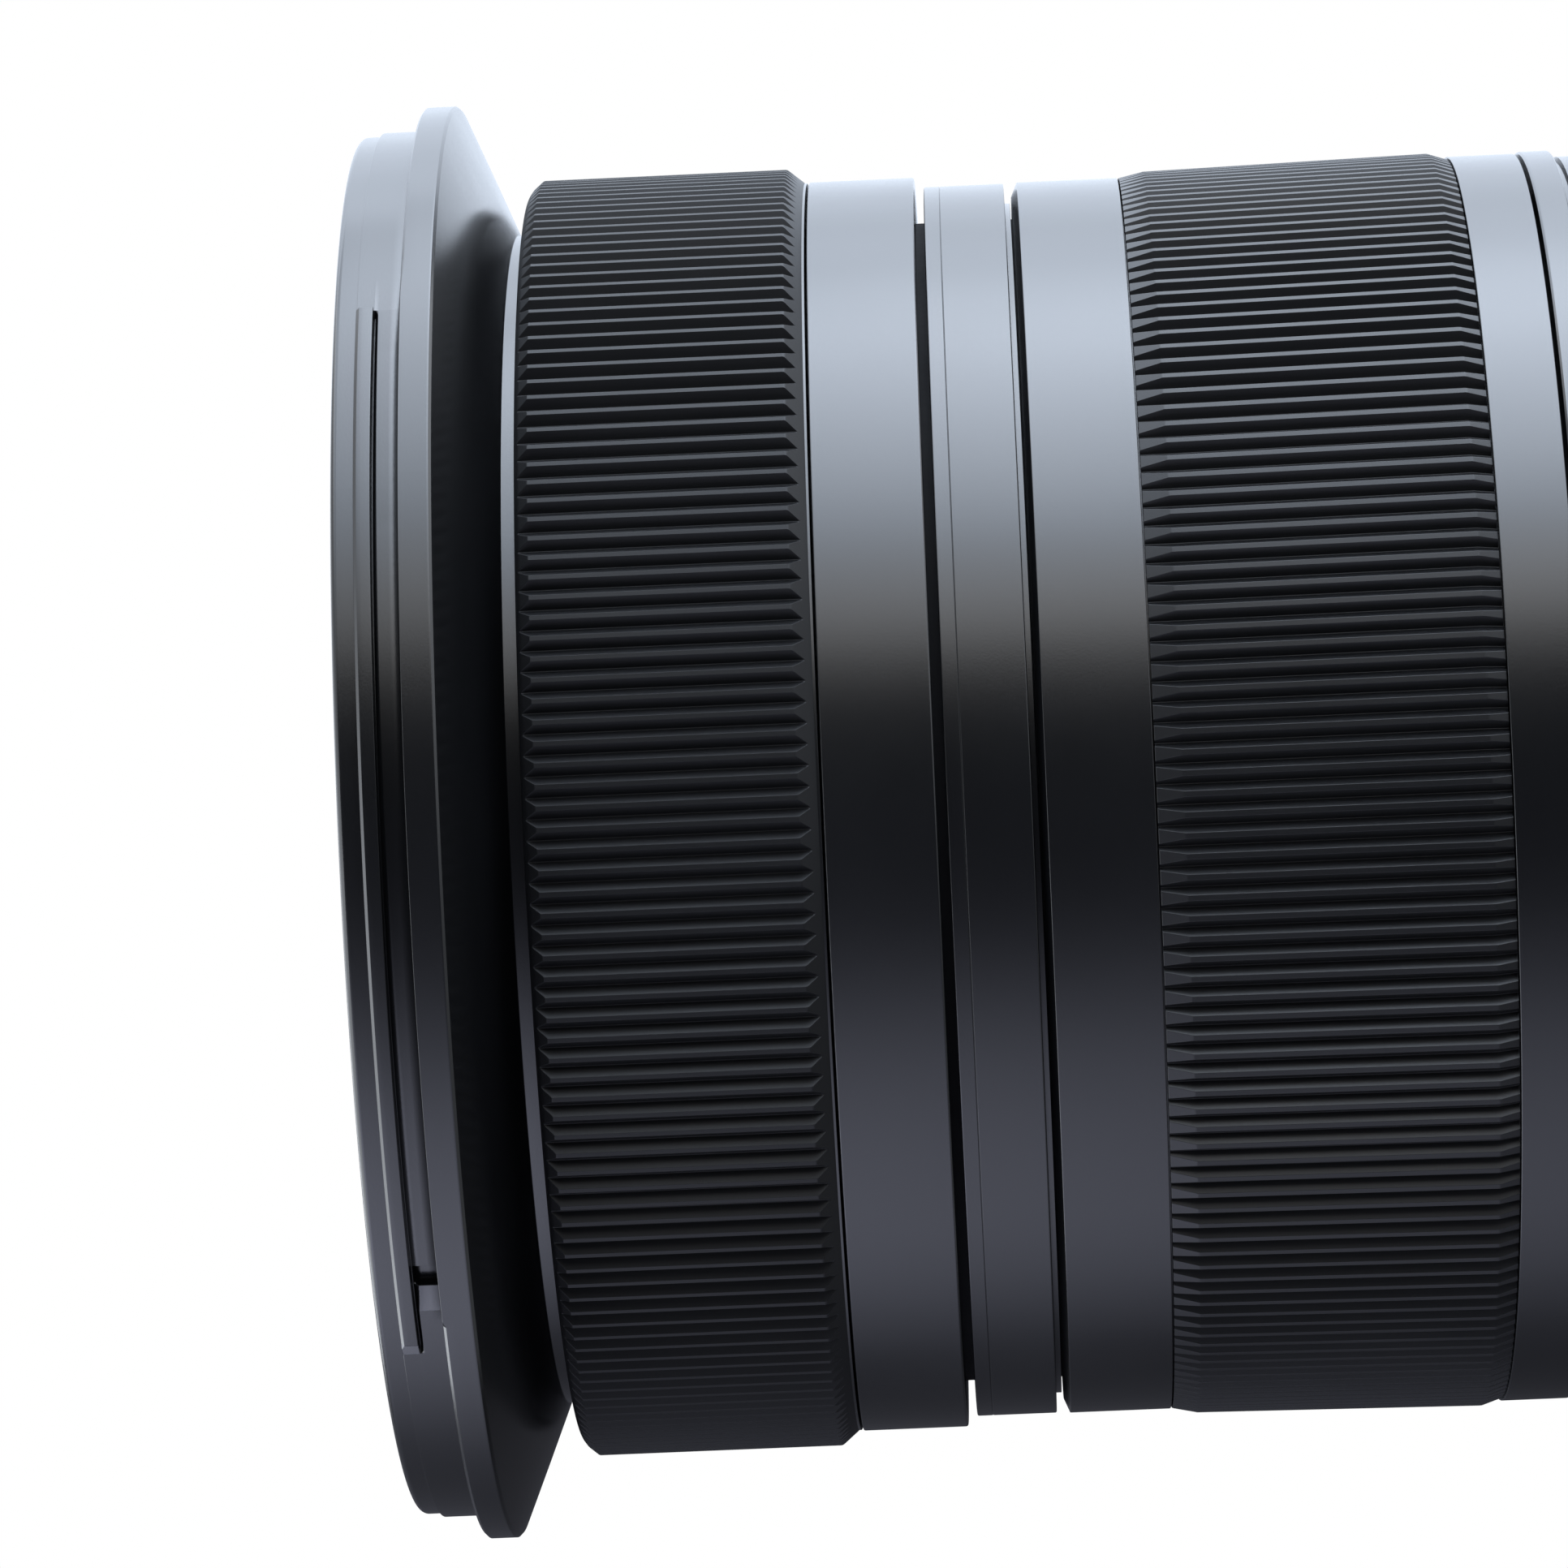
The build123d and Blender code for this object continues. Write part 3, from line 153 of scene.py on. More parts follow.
def lens_piece(name, edge, front, rear, n=256):
    """Glass element: edge is a list of (r, z, fillet); front and rear are (r_edge, z_edge, z_apex)."""
    def cap(r_edge, z_edge, z_apex, outward):
        h = z_apex - z_edge
        big = (r_edge ** 2 + h ** 2) / (2 * abs(h))
        ctr = z_apex - math.copysign(big, h)
        res = []
        for j in range(31):
            r = r_edge * (1 - j / 30.0)
            r = max(r, 0.01)
            z = z_apex - math.copysign(big - math.sqrt(big * big - r * r), h)
            nr, nz = r / big, (z - ctr) / big
            if nz * outward < 0:
                nr, nz = -nr, -nz
            res.append((r, z, nr, nz))
        return res
    top = cap(*front, 1.0)
    bot = cap(*rear, -1.0)[::-1]
    mid = []
    e = [(top[0][0], top[0][1])] + [(a[0], a[1]) for a in edge] + [(bot[-1][0], bot[-1][1])]
    prof = bot
    for a, b in zip(e[::-1][:-1], e[::-1][1:]):
        l = math.hypot(b[0] - a[0], b[1] - a[1])
        if l < 1e-6:
            continue
        nr, nz = (b[1] - a[1]) / l, -(b[0] - a[0]) / l
        prof = prof + [(a[0], a[1], nr, nz), (b[0], b[1], nr, nz)]
    prof = prof + top
    pr = np.array(prof)
    m = len(pr)
    th = np.arange(n) * 2 * np.pi / n
    c, sn = np.cos(th), np.sin(th)
    verts = np.stack([np.outer(c, pr[:, 0]), np.outer(sn, pr[:, 0]), np.tile(pr[:, 1], (n, 1))], -1).reshape(-1, 3)
    norms = np.stack([np.outer(c, pr[:, 2]), np.outer(sn, pr[:, 2]), np.tile(pr[:, 3], (n, 1))], -1).reshape(-1, 3)
    keep = [i for i in range(m - 1) if math.hypot(pr[i, 0] - pr[i + 1, 0], pr[i, 1] - pr[i + 1, 1]) > 1e-7]
    k = np.arange(n)[:, None]
    i = np.array(keep)[None, :]
    k2 = (k + 1) % n
    quad = np.stack([k * m + i, k2 * m + i, k2 * m + i + 1, k * m + i + 1], -1).reshape(-1, 4)
    return new_mesh(name, verts, quad, norms)


def ribbed(name, n_ribs, phase, crest, rows, w0, depth, edge_r, valley_flat, valley_r, r_in, end_r=None):
    """Ring of ribs.  rows: (z, envelope radius, envelope slope -dr/dz); crest: crest radius at z."""
    hp = math.pi / n_ribs
    rref = crest(rows[len(rows) // 2][0])
    half = hp * rref
    wv = half - valley_flat / 2
    turn = math.atan2(depth, wv - w0)
    kt, kv = 3, 2
    grid, nrm = [], []
    for z, env, slope in rows:
        rc = crest(z)
        drop = min(max(rc - env, 0.0), depth * 0.999)
        t0 = w0 + drop * (wv - w0) / depth
        fl = (depth - drop) / math.sin(turn)
        er = edge_r if end_r is None or z < end_r[0] else end_r[1]
        tl = min(er * math.tan(turn / 2), 0.45 * fl)
        fe = tl / math.tan(turn / 2)
        tv = min(valley_r * math.tan(turn / 2), 0.5 * fl)
        fv = tv / math.tan(turn / 2)
        pts = []
        # rounded upper edge
        cx, cd = t0 - tl, drop + fe
        for j in range(kt + 1):
            a = turn * j / kt
            pts.append((cx + fe * math.sin(a), cd - fe * math.cos(a), math.sin(a), math.cos(a), slope * (1 - j / kt)))
        # rounded valley
        vx, vd = wv + tv, depth - fv
        for j in range(kv + 1):
            a = turn * (1 - j / kv)
            x = vx - fv * math.sin(a)
            pts.append((min(x, half), vd + fv * math.cos(a), math.sin(a), math.cos(a), 0.0))
        if rc - env > depth * 0.999:
            extra = rc - env - depth * 0.999
            pts = [(p[0], p[1] + extra, 0.0, 1.0, slope) for p in pts]
        row, rn = [], []
        for x, d, nt, nr, nz in pts:
            row.append((x / half * hp, rc - d))
            rn.append((nt, nr, nz))
        left = [(-a, r) for a, r in row][::-1]
        ln = [(-nt, nr, nz) for nt, nr, nz in rn][::-1]
        grid.append(left + row)
        nrm.append(ln + rn)
    g = np.array(grid)          # rows, points, 2
    q = np.array(nrm)
    nr_, npnt = g.shape[0], g.shape[1]
    c0 = (np.arange(n_ribs) + phase) * 2 * math.pi / n_ribs
    ang = (c0[:, None, None] + g[None, :, :, 0])            # ribs, rows, pts
    rad = np.broadcast_to(g[None, :, :, 1], ang.shape)
    zz = np.broadcast_to(np.array([r[0] for r in rows])[None, :, None], ang.shape)
    nt, nrr, nz = (np.broadcast_to(q[None, :, :, j], ang.shape) for j in range(3))
    ca, sa = np.cos(ang), np.sin(ang)
    v = np.stack([rad * ca, rad * sa, zz], -1)
    nn = np.stack([nrr * ca - nt * sa, nrr * sa + nt * ca, nz], -1)
    # order as rows x (ribs*pts)
    v = v.transpose(1, 0, 2, 3).reshape(nr_, -1, 3)
    nn = nn.transpose(1, 0, 2, 3).reshape(nr_, -1, 3)
    cols = v.shape[1]
    # end caps and inner wall
    th = np.arctan2(v[0, :, 1], v[0, :, 0])
    inner = lambda z: np.stack([r_in * np.cos(th), r_in * np.sin(th), np.full_like(th, z)], -1)
    up, dn = np.tile([0, 0, 1.0], (cols, 1)), np.tile([0, 0, -1.0], (cols, 1))
    inn = np.stack([-np.cos(th), -np.sin(th), np.zeros_like(th)], -1)
    s = 1.0 if rows[0][0] > rows[-1][0] else -1.0
    first, last = (up, dn) if s > 0 else (dn, up)
    V = [inner(rows[0][0]), v[0]] + [v[j] for j in range(nr_)] + [v[-1], inner(rows[-1][0]), inner(rows[-1][0]), inner(rows[0][0])]
    Nn = [first, first] + [nn[j] for j in range(nr_)] + [last, last, inn, inn]
    strips = [(0, 1)] + [(2 + j, 3 + j) for j in range(nr_ - 1)] + [(nr_ + 2, nr_ + 3), (nr_ + 4, nr_ + 5)]
    V, Nn = np.concatenate(V), np.concatenate(Nn)
    k = np.arange(cols)
    k2 = (k + 1) % cols
    faces = []
    for a, b in strips:
        quad = np.stack([a * cols + k, a * cols + k2, b * cols + k2, b * cols + k], -1)
        faces.append(quad if s < 0 else quad[:, ::-1])
    return new_mesh(name, V, np.concatenate(faces), Nn)


# ---------------------------------------------------------------------------
# materials
# ---------------------------------------------------------------------------
def start(name):
    m = bpy.data.materials.new(name)
    m.use_nodes = True
    nt = m.node_tree
    b = nt.nodes["Principled BSDF"]
    tc = nt.nodes.new("ShaderNodeTexCoord")
    return m, nt, b, tc.outputs["Object"]


def noise(nt, co, scale, detail=3.0, rough=0.55, dist=0.0):
    n = nt.nodes.new("ShaderNodeTexNoise")
    n.inputs["Scale"].default_value = scale
    n.inputs["Detail"].default_value = detail
    n.inputs["Roughness"].default_value = rough
    n.inputs["Distortion"].default_value = dist
    nt.links.new(co, n.inputs["Vector"])
    return n.outputs["Fac"]


def remap(nt, val, a0, a1, b0, b1):
    n = nt.nodes.new("ShaderNodeMapRange")
    n.inputs["From Min"].default_value = a0
    n.inputs["From Max"].default_value = a1
    n.inputs["To Min"].default_value = b0
    n.inputs["To Max"].default_value = b1
    nt.links.new(val, n.inputs["Value"])
    return n.outputs["Result"]


def mathn(nt, op, a, b):
    n = nt.nodes.new("ShaderNodeMath")
    n.operation = op
    for i, v in enumerate((a, b)):
        if isinstance(v, (int, float)):
            n.inputs[i].default_value = v
        else:
            nt.links.new(v, n.inputs[i])
    return n.outputs[0]


def mix(nt, fac, a, b):
    n = nt.nodes.new("ShaderNodeMix")
    n.data_type = "RGBA"
    for sock, v in ((n.inputs[0], fac), (n.inputs[6], a), (n.inputs[7], b)):
        if isinstance(v, tuple):
            sock.default_value = v if len(v) == 4 else v + (1.0,)
        elif isinstance(v, (int, float)):
            sock.default_value = v
        else:
            nt.links.new(v, sock)
    return n.outputs[2]


def stretch(nt, co, sx, sy, sz):
    n = nt.nodes.new("ShaderNodeMapping")
    n.inputs["Scale"].default_value = (sx, sy, sz)
    nt.links.new(co, n.inputs["Vector"])
    return n.outputs["Vector"]


def bump(nt, b, height, strength, distance, normal=None):
    n = nt.nodes.new("ShaderNodeBump")
    n.inputs["Strength"].default_value = strength
    n.inputs["Distance"].default_value = distance
    nt.links.new(height, n.inputs["Height"])
    if normal is not None:
        nt.links.new(normal, n.inputs["Normal"])
    if b is not None:
        nt.links.new(n.outputs["Normal"], b.inputs["Normal"])
    return n.outputs["Normal"]


def specks(nt, co, scale, size, share):
    """Sparse tiny dots: 1 on a dot, 0 elsewhere."""
    v = nt.nodes.new("ShaderNodeTexVoronoi")
    v.inputs["Scale"].default_value = scale
    nt.links.new(co, v.inputs["Vector"])
    near = remap(nt, v.outputs["Distance"], size * 0.6, size, 1.0, 0.0)
    sep = nt.nodes.new("ShaderNodeSeparateColor")
    nt.links.new(v.outputs["Color"], sep.inputs[0])
    some = mathn(nt, "GREATER_THAN", sep.outputs[0], 1.0 - share)
    return mathn(nt, "MULTIPLY", near, some)


def black_finish(name, base, rough, spread=0.03, grain=9000.0, grain_bump=0.10, dust=0.10, spec=0.5, mottled=0.35):
    m, nt, b, co = start(name)
    fine = noise(nt, co, grain, 2.0)
    broad = noise(nt, co, 55.0, 4.0)
    d = specks(nt, co, 330.0, 0.020, dust)
    col = mix(nt, broad, tuple(c * (1 - mottled) for c in base), tuple(c * (1 + mottled) for c in base))
    col = mix(nt, d, col, (0.42, 0.43, 0.44))
    nt.links.new(col, b.inputs["Base Color"])
    r = remap(nt, broad, 0.3, 0.7, rough - spread, rough + spread)
    r = mathn(nt, "ADD", r, remap(nt, fine, 0.3, 0.7, -0.02, 0.02))
    r = mathn(nt, "MAXIMUM", r, mathn(nt, "MULTIPLY", d, 0.9))
    nt.links.new(r, b.inputs["Roughness"])
    b.inputs["Specular IOR Level"].default_value = spec
    bump(nt, b, fine, grain_bump, 0.00002)
    return m


def metal_finish(name, base, rough, grain=(0.0, 0.0), anis=0.0, bumpy=0.05, metallic=1.0):
    m, nt, b, co = start(name)
    b.inputs["Metallic"].default_value = metallic
    b.inputs["Anisotropic"].default_value = anis
    lines = noise(nt, stretch(nt, co, 1.0, 1.0, 40.0), 420.0, 3.0)
    fine = noise(nt, co, 7000.0, 2.0)
    broad = noise(nt, co, 90.0, 4.0)
    col = mix(nt, broad, tuple(c * 0.90 for c in base), tuple(min(1.0, c * 1.08) for c in base))
    col = mix(nt, remap(nt, lines, 0.3, 0.7, 0.0, 0.25), col, tuple(c * 0.72 for c in base))
    nt.links.new(col, b.inputs["Base Color"])
    r = mathn(nt, "ADD", remap(nt, broad, 0.3, 0.7, rough - 0.04, rough + 0.05), remap(nt, fine, 0.3, 0.7, -0.03, 0.03))
    nt.links.new(r, b.inputs["Roughness"])
    bump(nt, b, mathn(nt, "ADD", lines, fine), bumpy, 0.00001)
    return m


def plain_finish(name, base, rough, grain=5000.0, bumpy=0.15, spec=0.5, mottled=0.15):
    m, nt, b, co = start(name)
    fine = noise(nt, co, grain, 3.0)
    broad = noise(nt, co, 120.0, 4.0)
    col = mix(nt, broad, tuple(c * (1 - mottled) for c in base), tuple(min(1.0, c * (1 + mottled)) for c in base))
    nt.links.new(col, b.inputs["Base Color"])
    nt.links.new(mathn(nt, "ADD", remap(nt, broad, 0.3, 0.7, rough - 0.05, rough + 0.05), remap(nt, fine, 0.3, 0.7, -0.03, 0.03)),
                 b.inputs["Roughness"])
    b.inputs["Specular IOR Level"].default_value = spec
    bump(nt, b, fine, bumpy, 0.00002)
    return m


def glass_finish(name, tint, ior=1.62):
    m, nt, b, co = start(name)
    b.inputs["Transmission Weight"].default_value = 1.0
    b.inputs["IOR"].default_value = ior
    b.inputs["Specular Tint"].default_value = tint + (1.0,)
    fog = noise(nt, co, 140.0, 3.0)
    nt.links.new(remap(nt, fog, 0.35, 0.75, 0.0, 0.012), b.inputs["Roughness"])
    nt.links.new(mix(nt, fog, (0.97, 0.985, 0.98), (0.93, 0.955, 0.95)), b.inputs["Base Color"])
    return m


M_BARREL = black_finish("mat_barrel_black", (0.0020, 0.0021, 0.0024), 0.22)
# lighter base colour for the ramp behind the stop and the end of each lug on the front barrel
M_LIGHTER_FACES = black_finish("mat_barrel_lighter_faces", (0.075, 0.075, 0.082), 0.40, 0.04, 9000.0, 0.10, 0.10, 0.5, 0.35)
M_INNER = plain_finish("mat_inner_black", (0.007, 0.007, 0.008), 0.72, 4000.0, 0.25, 0.18)
M_FLOCK = plain_finish("mat_flock_black", (0.006, 0.006, 0.0065), 0.85, 9000.0, 0.5, 0.15)
M_GRIP = black_finish("mat_grip_rubber", (0.0034, 0.0035, 0.0039), 0.44, 0.03, 9000.0, 0.14, 0.05, 0.165, 0.25)
M_GRIP2 = black_finish("mat_grip_rubber_rear", (0.0034, 0.0035, 0.0039), 0.37, 0.03, 9000.0, 0.13, 0.05, 0.235, 0.25)
M_PLASTIC = black_finish("mat_black_plastic", (0.0080, 0.0081, 0.0086), 0.42, 0.03, 6000.0, 0.18, 0.03)
M_MOUNT = metal_finish("mat_mount_metal", (0.34, 0.335, 0.325), 0.24, anis=0.55, bumpy=0.05)
M_SCREW = metal_finish("mat_screw_steel", (0.30, 0.30, 0.30), 0.28)
M_ROD = metal_finish("mat_rod_steel", (0.70, 0.70, 0.71), 0.18)
M_BRASS = metal_finish("mat_follower_brass", (0.66, 0.47, 0.22), 0.30)
M_GOLD = metal_finish("mat_contact_gold", (0.94, 0.66, 0.26), 0.16)
M_SEAL = black_finish("mat_seal_rubber", (0.0075, 0.0075, 0.008), 0.62, 0.04, 4200.0, 0.25, 0.05)
M_BLADE = metal_finish("mat_blade_steel", (0.06, 0.06, 0.062), 0.42, metallic=0.7)
M_MOTOR = metal_finish("mat_motor_steel", (0.55, 0.55, 0.57), 0.32)
M_BOARD = plain_finish("mat_board_green", (0.018, 0.13, 0.055), 0.38, 2500.0, 0.25, 0.5, 0.35)
M_GLASS_F = glass_finish("mat_glass_front", (0.07, 0.17, 0.10))
M_GLASS_2 = glass_finish("mat_glass_second", (0.15, 0.07, 0.14), 1.70)
M_GLASS_3 = glass_finish("mat_glass_third", (0.14, 0.12, 0.06), 1.55)
M_GLASS_R = glass_finish("mat_glass_rear", (0.10, 0.12, 0.24), 1.60)
M_WHITE = plain_finish("mat_mark_white", (0.62, 0.62, 0.60), 0.55, 6000.0, 0.1)


def put(ob, body, slot, mat, *nodes):
    ob.data.materials.clear()
    ob.data.materials.append(mat)
    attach(ob, body)
    if nodes:
        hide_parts(*nodes)
    return ob


def Z(st):
    return LENGTH - st


# ---------------------------------------------------------------------------
# front barrel with the hood bayonet
# ---------------------------------------------------------------------------
def lerp(x, xs, ys):
    return float(np.interp(x, xs, ys))


def front_barrel():
    # angle seen from the -Y side, the same again on the far side
    brk = [-45.8, -44.1, -44.7, -45.75, -45.5, -40.9, -38.6, -38.46, -36.92, -36.76, 27.0, 44.0, 44.3, 48.0, 45.9]
    deg = set(np.round(np.arange(-90, 90, 0.5), 4).tolist())
    for b in brk:
        for d in (-0.05, -0.02, 0.0, 0.02, 0.05):
            deg.add(round(b + d, 4))
    for b0, b1 in ((-45.8, -44.1), (-45.8, -45.4), (-40.9, -38.5), (-41.0, -40.4), (43.95, 44.35), (-38.7, -38.4), (-37.0, -36.7)):
        for t in np.linspace(b0, b1, 7):
            deg.add(round(float(t), 4))
    deg = sorted(deg)
    th = [math.radians(d - 90) for d in deg] + [math.radians(d + 90) for d in deg]
    dd = deg + deg
    rows = []

    def wallpts(st0, ra, rb, f1, f2, k=3, flat=False):
        """Rounded step at st0 from radius ra in front to rb behind, with the same number of points whatever its height."""
        h = abs(ra - rb)
        g1, g2 = min(f1, 0.45 * h), min(f2, 0.45 * h)
        sg = 1.0 if ra > rb else -1.0
        out = []
        if ra >= rb:      # falling: convex corner in front, concave behind
            for j in range(k + 1):
                a = math.pi / 2 * j / k
                out.append((ra - g1 + g1 * math.cos(a), st0 - f1 + f1 * math.sin(a)))
            for j in range(k + 1):
                a = math.pi / 2 * (1 - j / k)
                out.append((rb + g2 - g2 * math.cos(a), st0 + f2 - f2 * math.sin(a)))
        else:             # rising: concave corner in front, convex behind
            for j in range(k + 1):
                a = math.pi / 2 * j / k
                out.append((ra + g1 - g1 * math.cos(a), st0 - f1 + f1 * math.sin(a)))
            for j in range(k + 1):
                a = math.pi / 2 * (1 - j / k)
                w = (0.0, 0.08, 0.92, 1.0)[j] if k == 3 else j / k
                out.append((rb - g2 + g2 * math.cos(a), st0 + f2 - f2 * math.sin(a)) if not flat else
                           (rb - g2 + g2 * w, st0 + f2 * w))
        return out

    for d in dd:
        lug = lerp(d, [-45.8, -44.1, 44.0, 44.3], [37.35, 37.75, 37.75, 37.35])
        rel = lerp(d, [-45.75, -45.5, -41.0, -38.0, -10.0, 30.0, 43.9, 44.25],
                   [37.35, 37.05, 37.05, 36.90, 36.88, 36.80, 36.86, 37.35])
        wide = lerp(d, [-41.0, -38.0, -20.0, 10.0, 40.0], [0.20, 0.40, 0.40, 0.24, 0.20])
        chan = lerp(d, [-40.9, -38.60, -38.46, -36.92, -36.76, 24.0, 30.0, 40.0, 44.3, 48.0],
                    [37.35, 37.08, 36.55, 36.55, 36.95, 36.95, 37.02, 37.20, 37.335, 37.35])
        f_lug = lerp(d, [-44.7, -44.1, 44.0, 44.3], [0.012, 0.17, 0.17, 0.012])
        foot = lerp(d, [-42.0, -40.0, 40.0, 48.0], [0.08, 0.02, 0.02, 0.04])
        dip = lerp(d, [-42.0, -40.0, 40.0, 48.0], [0.0, 0.14, 0.14, 0.04])
        fr = lerp(d, [-41.0, -40.4, 44.0, 48.0], [0.16, 0.012, 0.012, 0.11])
        p = []
        # front edge
        p += [(36.35, 0.0)]
        for j in range(7):
            a = math.pi / 2 * j / 6
            p.append((37.15 - 0.33 + 0.33 * math.sin(a), 0.33 - 0.33 * math.cos(a)))
        p += wallpts(1.2, 37.15, lug, 0.02, f_lug, flat=True)
        p += [(lug, 1.6)]
        p += wallpts(2.07, lug, rel, 0.05, 0.03)
        for j in range(9):
            u = j / 8
            p.append((rel + (chan - rel) * (1 - (1 - u) ** 1.9), 2.11 + wide * u))
        p += [(chan, 2.9), (chan, 3.34), (chan - dip, 3.41), (chan - dip, 3.44)]
        p += wallpts(3.52, chan - dip, 38.6, foot, fr, flat=True)
        p += [(38.6, 4.3)]
        p += [(38.6, 4.94), (38.6, 5.03), (38.588, 5.042), (38.472, 5.158), (38.462, 5.172), (38.41, 5.195)]
        p += [(38.2, 5.282), (35.0, 6.615), (31.56, 8.025), (31.50, 8.07), (31.50, 8.12), (31.50, 8.78), (31.49, 8.82), (31.23, 8.82), (31.22, 8.80), (31.22, 5.12),
              (31.22, 5.1), (31.24, 5.1),
              (35.28, 5.1), (35.3, 5.1), (35.3, 5.08), (35.3, 3.42), (35.3, 3.4), (35.32, 3.4), (35.98, 3.4), (36.0, 3.4),
              (36.0, 3.38), (36.0, 0.37), (36.01, 0.34), (36.33, 0.02)]
        rows.append(p)
    g = np.array(rows)
    n, m = g.shape[0], g.shape[1]
    t = np.array(th)[:, None]
    verts = np.stack([g[:, :, 0] * np.cos(t), g[:, :, 0] * np.sin(t), LENGTH - g[:, :, 1]], -1).reshape(-1, 3)
    k = np.arange(n)[:, None]
    i = np.arange(m)[None, :]
    k2, i2 = (k + 1) % n, (i + 1) % m
    quad = np.stack([k * m + i, k * m + i2, k2 * m + i2, k2 * m + i], -1).reshape(-1, 4)
    nrm = area_normals(verts, quad)
    ob = new_mesh("front_barrel_shell", verts, quad, nrm)
    # faces with a lighter base colour: the ramp behind the stop and the end of each lug
    st = (g[:, :, 1] + g[:, np.r_[1:m, 0], 1]) / 2
    rr = g[:, :, 0]
    ph = np.array(dd)[:, None] + 0.02
    ramp = (ph > -40.9) & (ph < -38.65) & (st > 2.38) & (st < 3.38)
    end = (ph > -45.8) & (ph < -44.15) & (st > 1.22) & (st < 2.06) & (rr > 37.0)
    return ob, (ramp | end).astype(np.int32).ravel()


shell, lighter_faces = front_barrel()
put(shell, "root", "barrel_black", M_BARREL, "front_barrel").data.materials.append(M_LIGHTER_FACES)
shell.data.polygons.foreach_set("material_index", lighter_faces)


def helix(name, r_root, r_tip, pitch, z0, turns, per=240, base=0.34, top=0.10):
    n = int(turns * per) + 1
    v, f = [], []
    for i in range(n):
        a = 2 * math.pi * i / per
        u = i / (n - 1)
        k = min(1.0, u * turns * 3, (1 - u) * turns * 3)
        z = z0 + pitch * i / per
        tip = r_root + (r_tip - r_root) * k
        for r, dz in ((r_root + 0.02, -base), (tip, -top / 2), (tip, top / 2), (r_root + 0.02, base)):
            v.append((r * math.cos(a), r * math.sin(a), z + dz * (k if r > r_tip + 0.001 or k < 1 else 1.0)))
    for i in range(n - 1):
        for j in range(3):
            a = i * 4 + j
            f.append((a, a + 1, a + 5, a + 4))
        f.append((i * 4 + 3, i * 4, i * 4 + 4, i * 4 + 7))
    ob = new_mesh(name, v, f)
    ob.data.shade_smooth()
    ob.data.set_sharp_from_angle(angle=math.radians(30))
    return ob


put(helix("filter_thread_turns", 36.0, 35.62, 0.75, Z(3.05), 3.6), "root", "barrel_black", M_BARREL)

# ---------------------------------------------------------------------------
# front ring: stepped baffle round the front glass
# ---------------------------------------------------------------------------
steps = [(28.62, 95.54, 0.0), (35.22, 95.54, 0.0), (35.22, 97.05, 0.08), (34.55, 97.05, 0.08)]
r, z = 34.55, 97.05
for k in range(9):
    r2 = r - 0.52
    steps += [(r - 0.02, z - 0.12, 0.03), (r2, z - 0.10, 0.03)]
    r, z = r2, z - 0.10
steps += [(29.3, 95.98, 0.05), (28.62, 95.80, 0.05)]
put(lathe("front_ring_baffle", steps, 540), "root", "barrel_black", M_BARREL, "front_ring")

# ---------------------------------------------------------------------------
# focus ring
# ---------------------------------------------------------------------------
put(lathe("focus_carrier_ring", [(31.28, Z(8.88), 0.0), (33.38, Z(8.88), 0.02), (33.10, Z(8.93), 0.0), (33.10, Z(23.58), 0.0),
                                 (33.62, Z(23.58), 0.0), (33.62, Z(23.71), 0.02), (31.28, Z(23.71), 0.0)]),
    "focus_ring", "barrel_black", M_BARREL, "focus_carrier")


def envelope(points, dense):
    """Rows (z, r, slope) along an outside profile of (st, r) points, with even subdivision of each span."""
    rows = []
    for (s0, r0), (s1, r1), k in zip(points[:-1], points[1:], dense):
        for j in range(k):
            t = j / k
            rows.append((s0 + (s1 - s0) * t, r0 + (r1 - r0) * t))
    rows.append(points[-1])
    out = []
    for i, (s, r) in enumerate(rows):
        a = rows[max(i - 1, 0)]
        b = rows[min(i + 1, len(rows) - 1)]
        # the slope of the longer neighbouring span keeps flats flat
        d0, d1 = s - a[0], b[0] - s
        if d0 >= d1 * 3:
            sl = (r - a[1]) / d0
        elif d1 >= d0 * 3:
            sl = (b[1] - r) / d1
        else:
            sl = (b[1] - a[1]) / max(b[0] - a[0], 1e-9)
        out.append((LENGTH - s, r, sl))
    return out


FOCUS = [(8.90, 33.42), (8.93, 33.66), (8.97, 33.74), (9.14, 33.98), (9.19, 34.03), (9.58, 34.355), (9.62, 34.39), (9.66, 34.40),
         (22.58, 34.40), (22.66, 34.385), (22.74, 34.335), (23.52, 33.68), (23.58, 33.62)]
put(ribbed("focus_grip_ribs", 202, 0.0, lambda z: 34.40, envelope(FOCUS, [1, 1, 2, 1, 3, 1, 1, 6, 1, 1, 6, 1]),
           0.120, 0.48, 0.022, 0.05, 0.05, 33.12, (Z(9.60), 0.075)),
    "focus_ring", "grip_rubber", M_GRIP, "focus_grip")

# ---------------------------------------------------------------------------
# middle bands
# ---------------------------------------------------------------------------
put(lathe("mid_sleeve_ring", [(31.22, Z(29.44), 0.0), (33.66, Z(29.44), 0.13), (33.66, Z(23.83), 0.08), (31.22, Z(23.83), 0.0)]),
    "root", "barrel_black", M_BARREL, "mid_sleeve")
put(lathe("trim_ring_band", [(31.22, Z(34.50), 0.0), (32.05, Z(34.50), 0.02), (32.05, Z(34.20), 0.03), (33.12, Z(34.20), 0.08),
                             (33.12, Z(30.82), 0.03), (33.07, Z(30.79), 0.03), (33.12, Z(30.76), 0.03), (33.12, Z(29.95), 0.09),
                             (31.22, Z(29.95), 0.0)]),
    "root", "barrel_black", M_BARREL, "trim_ring")

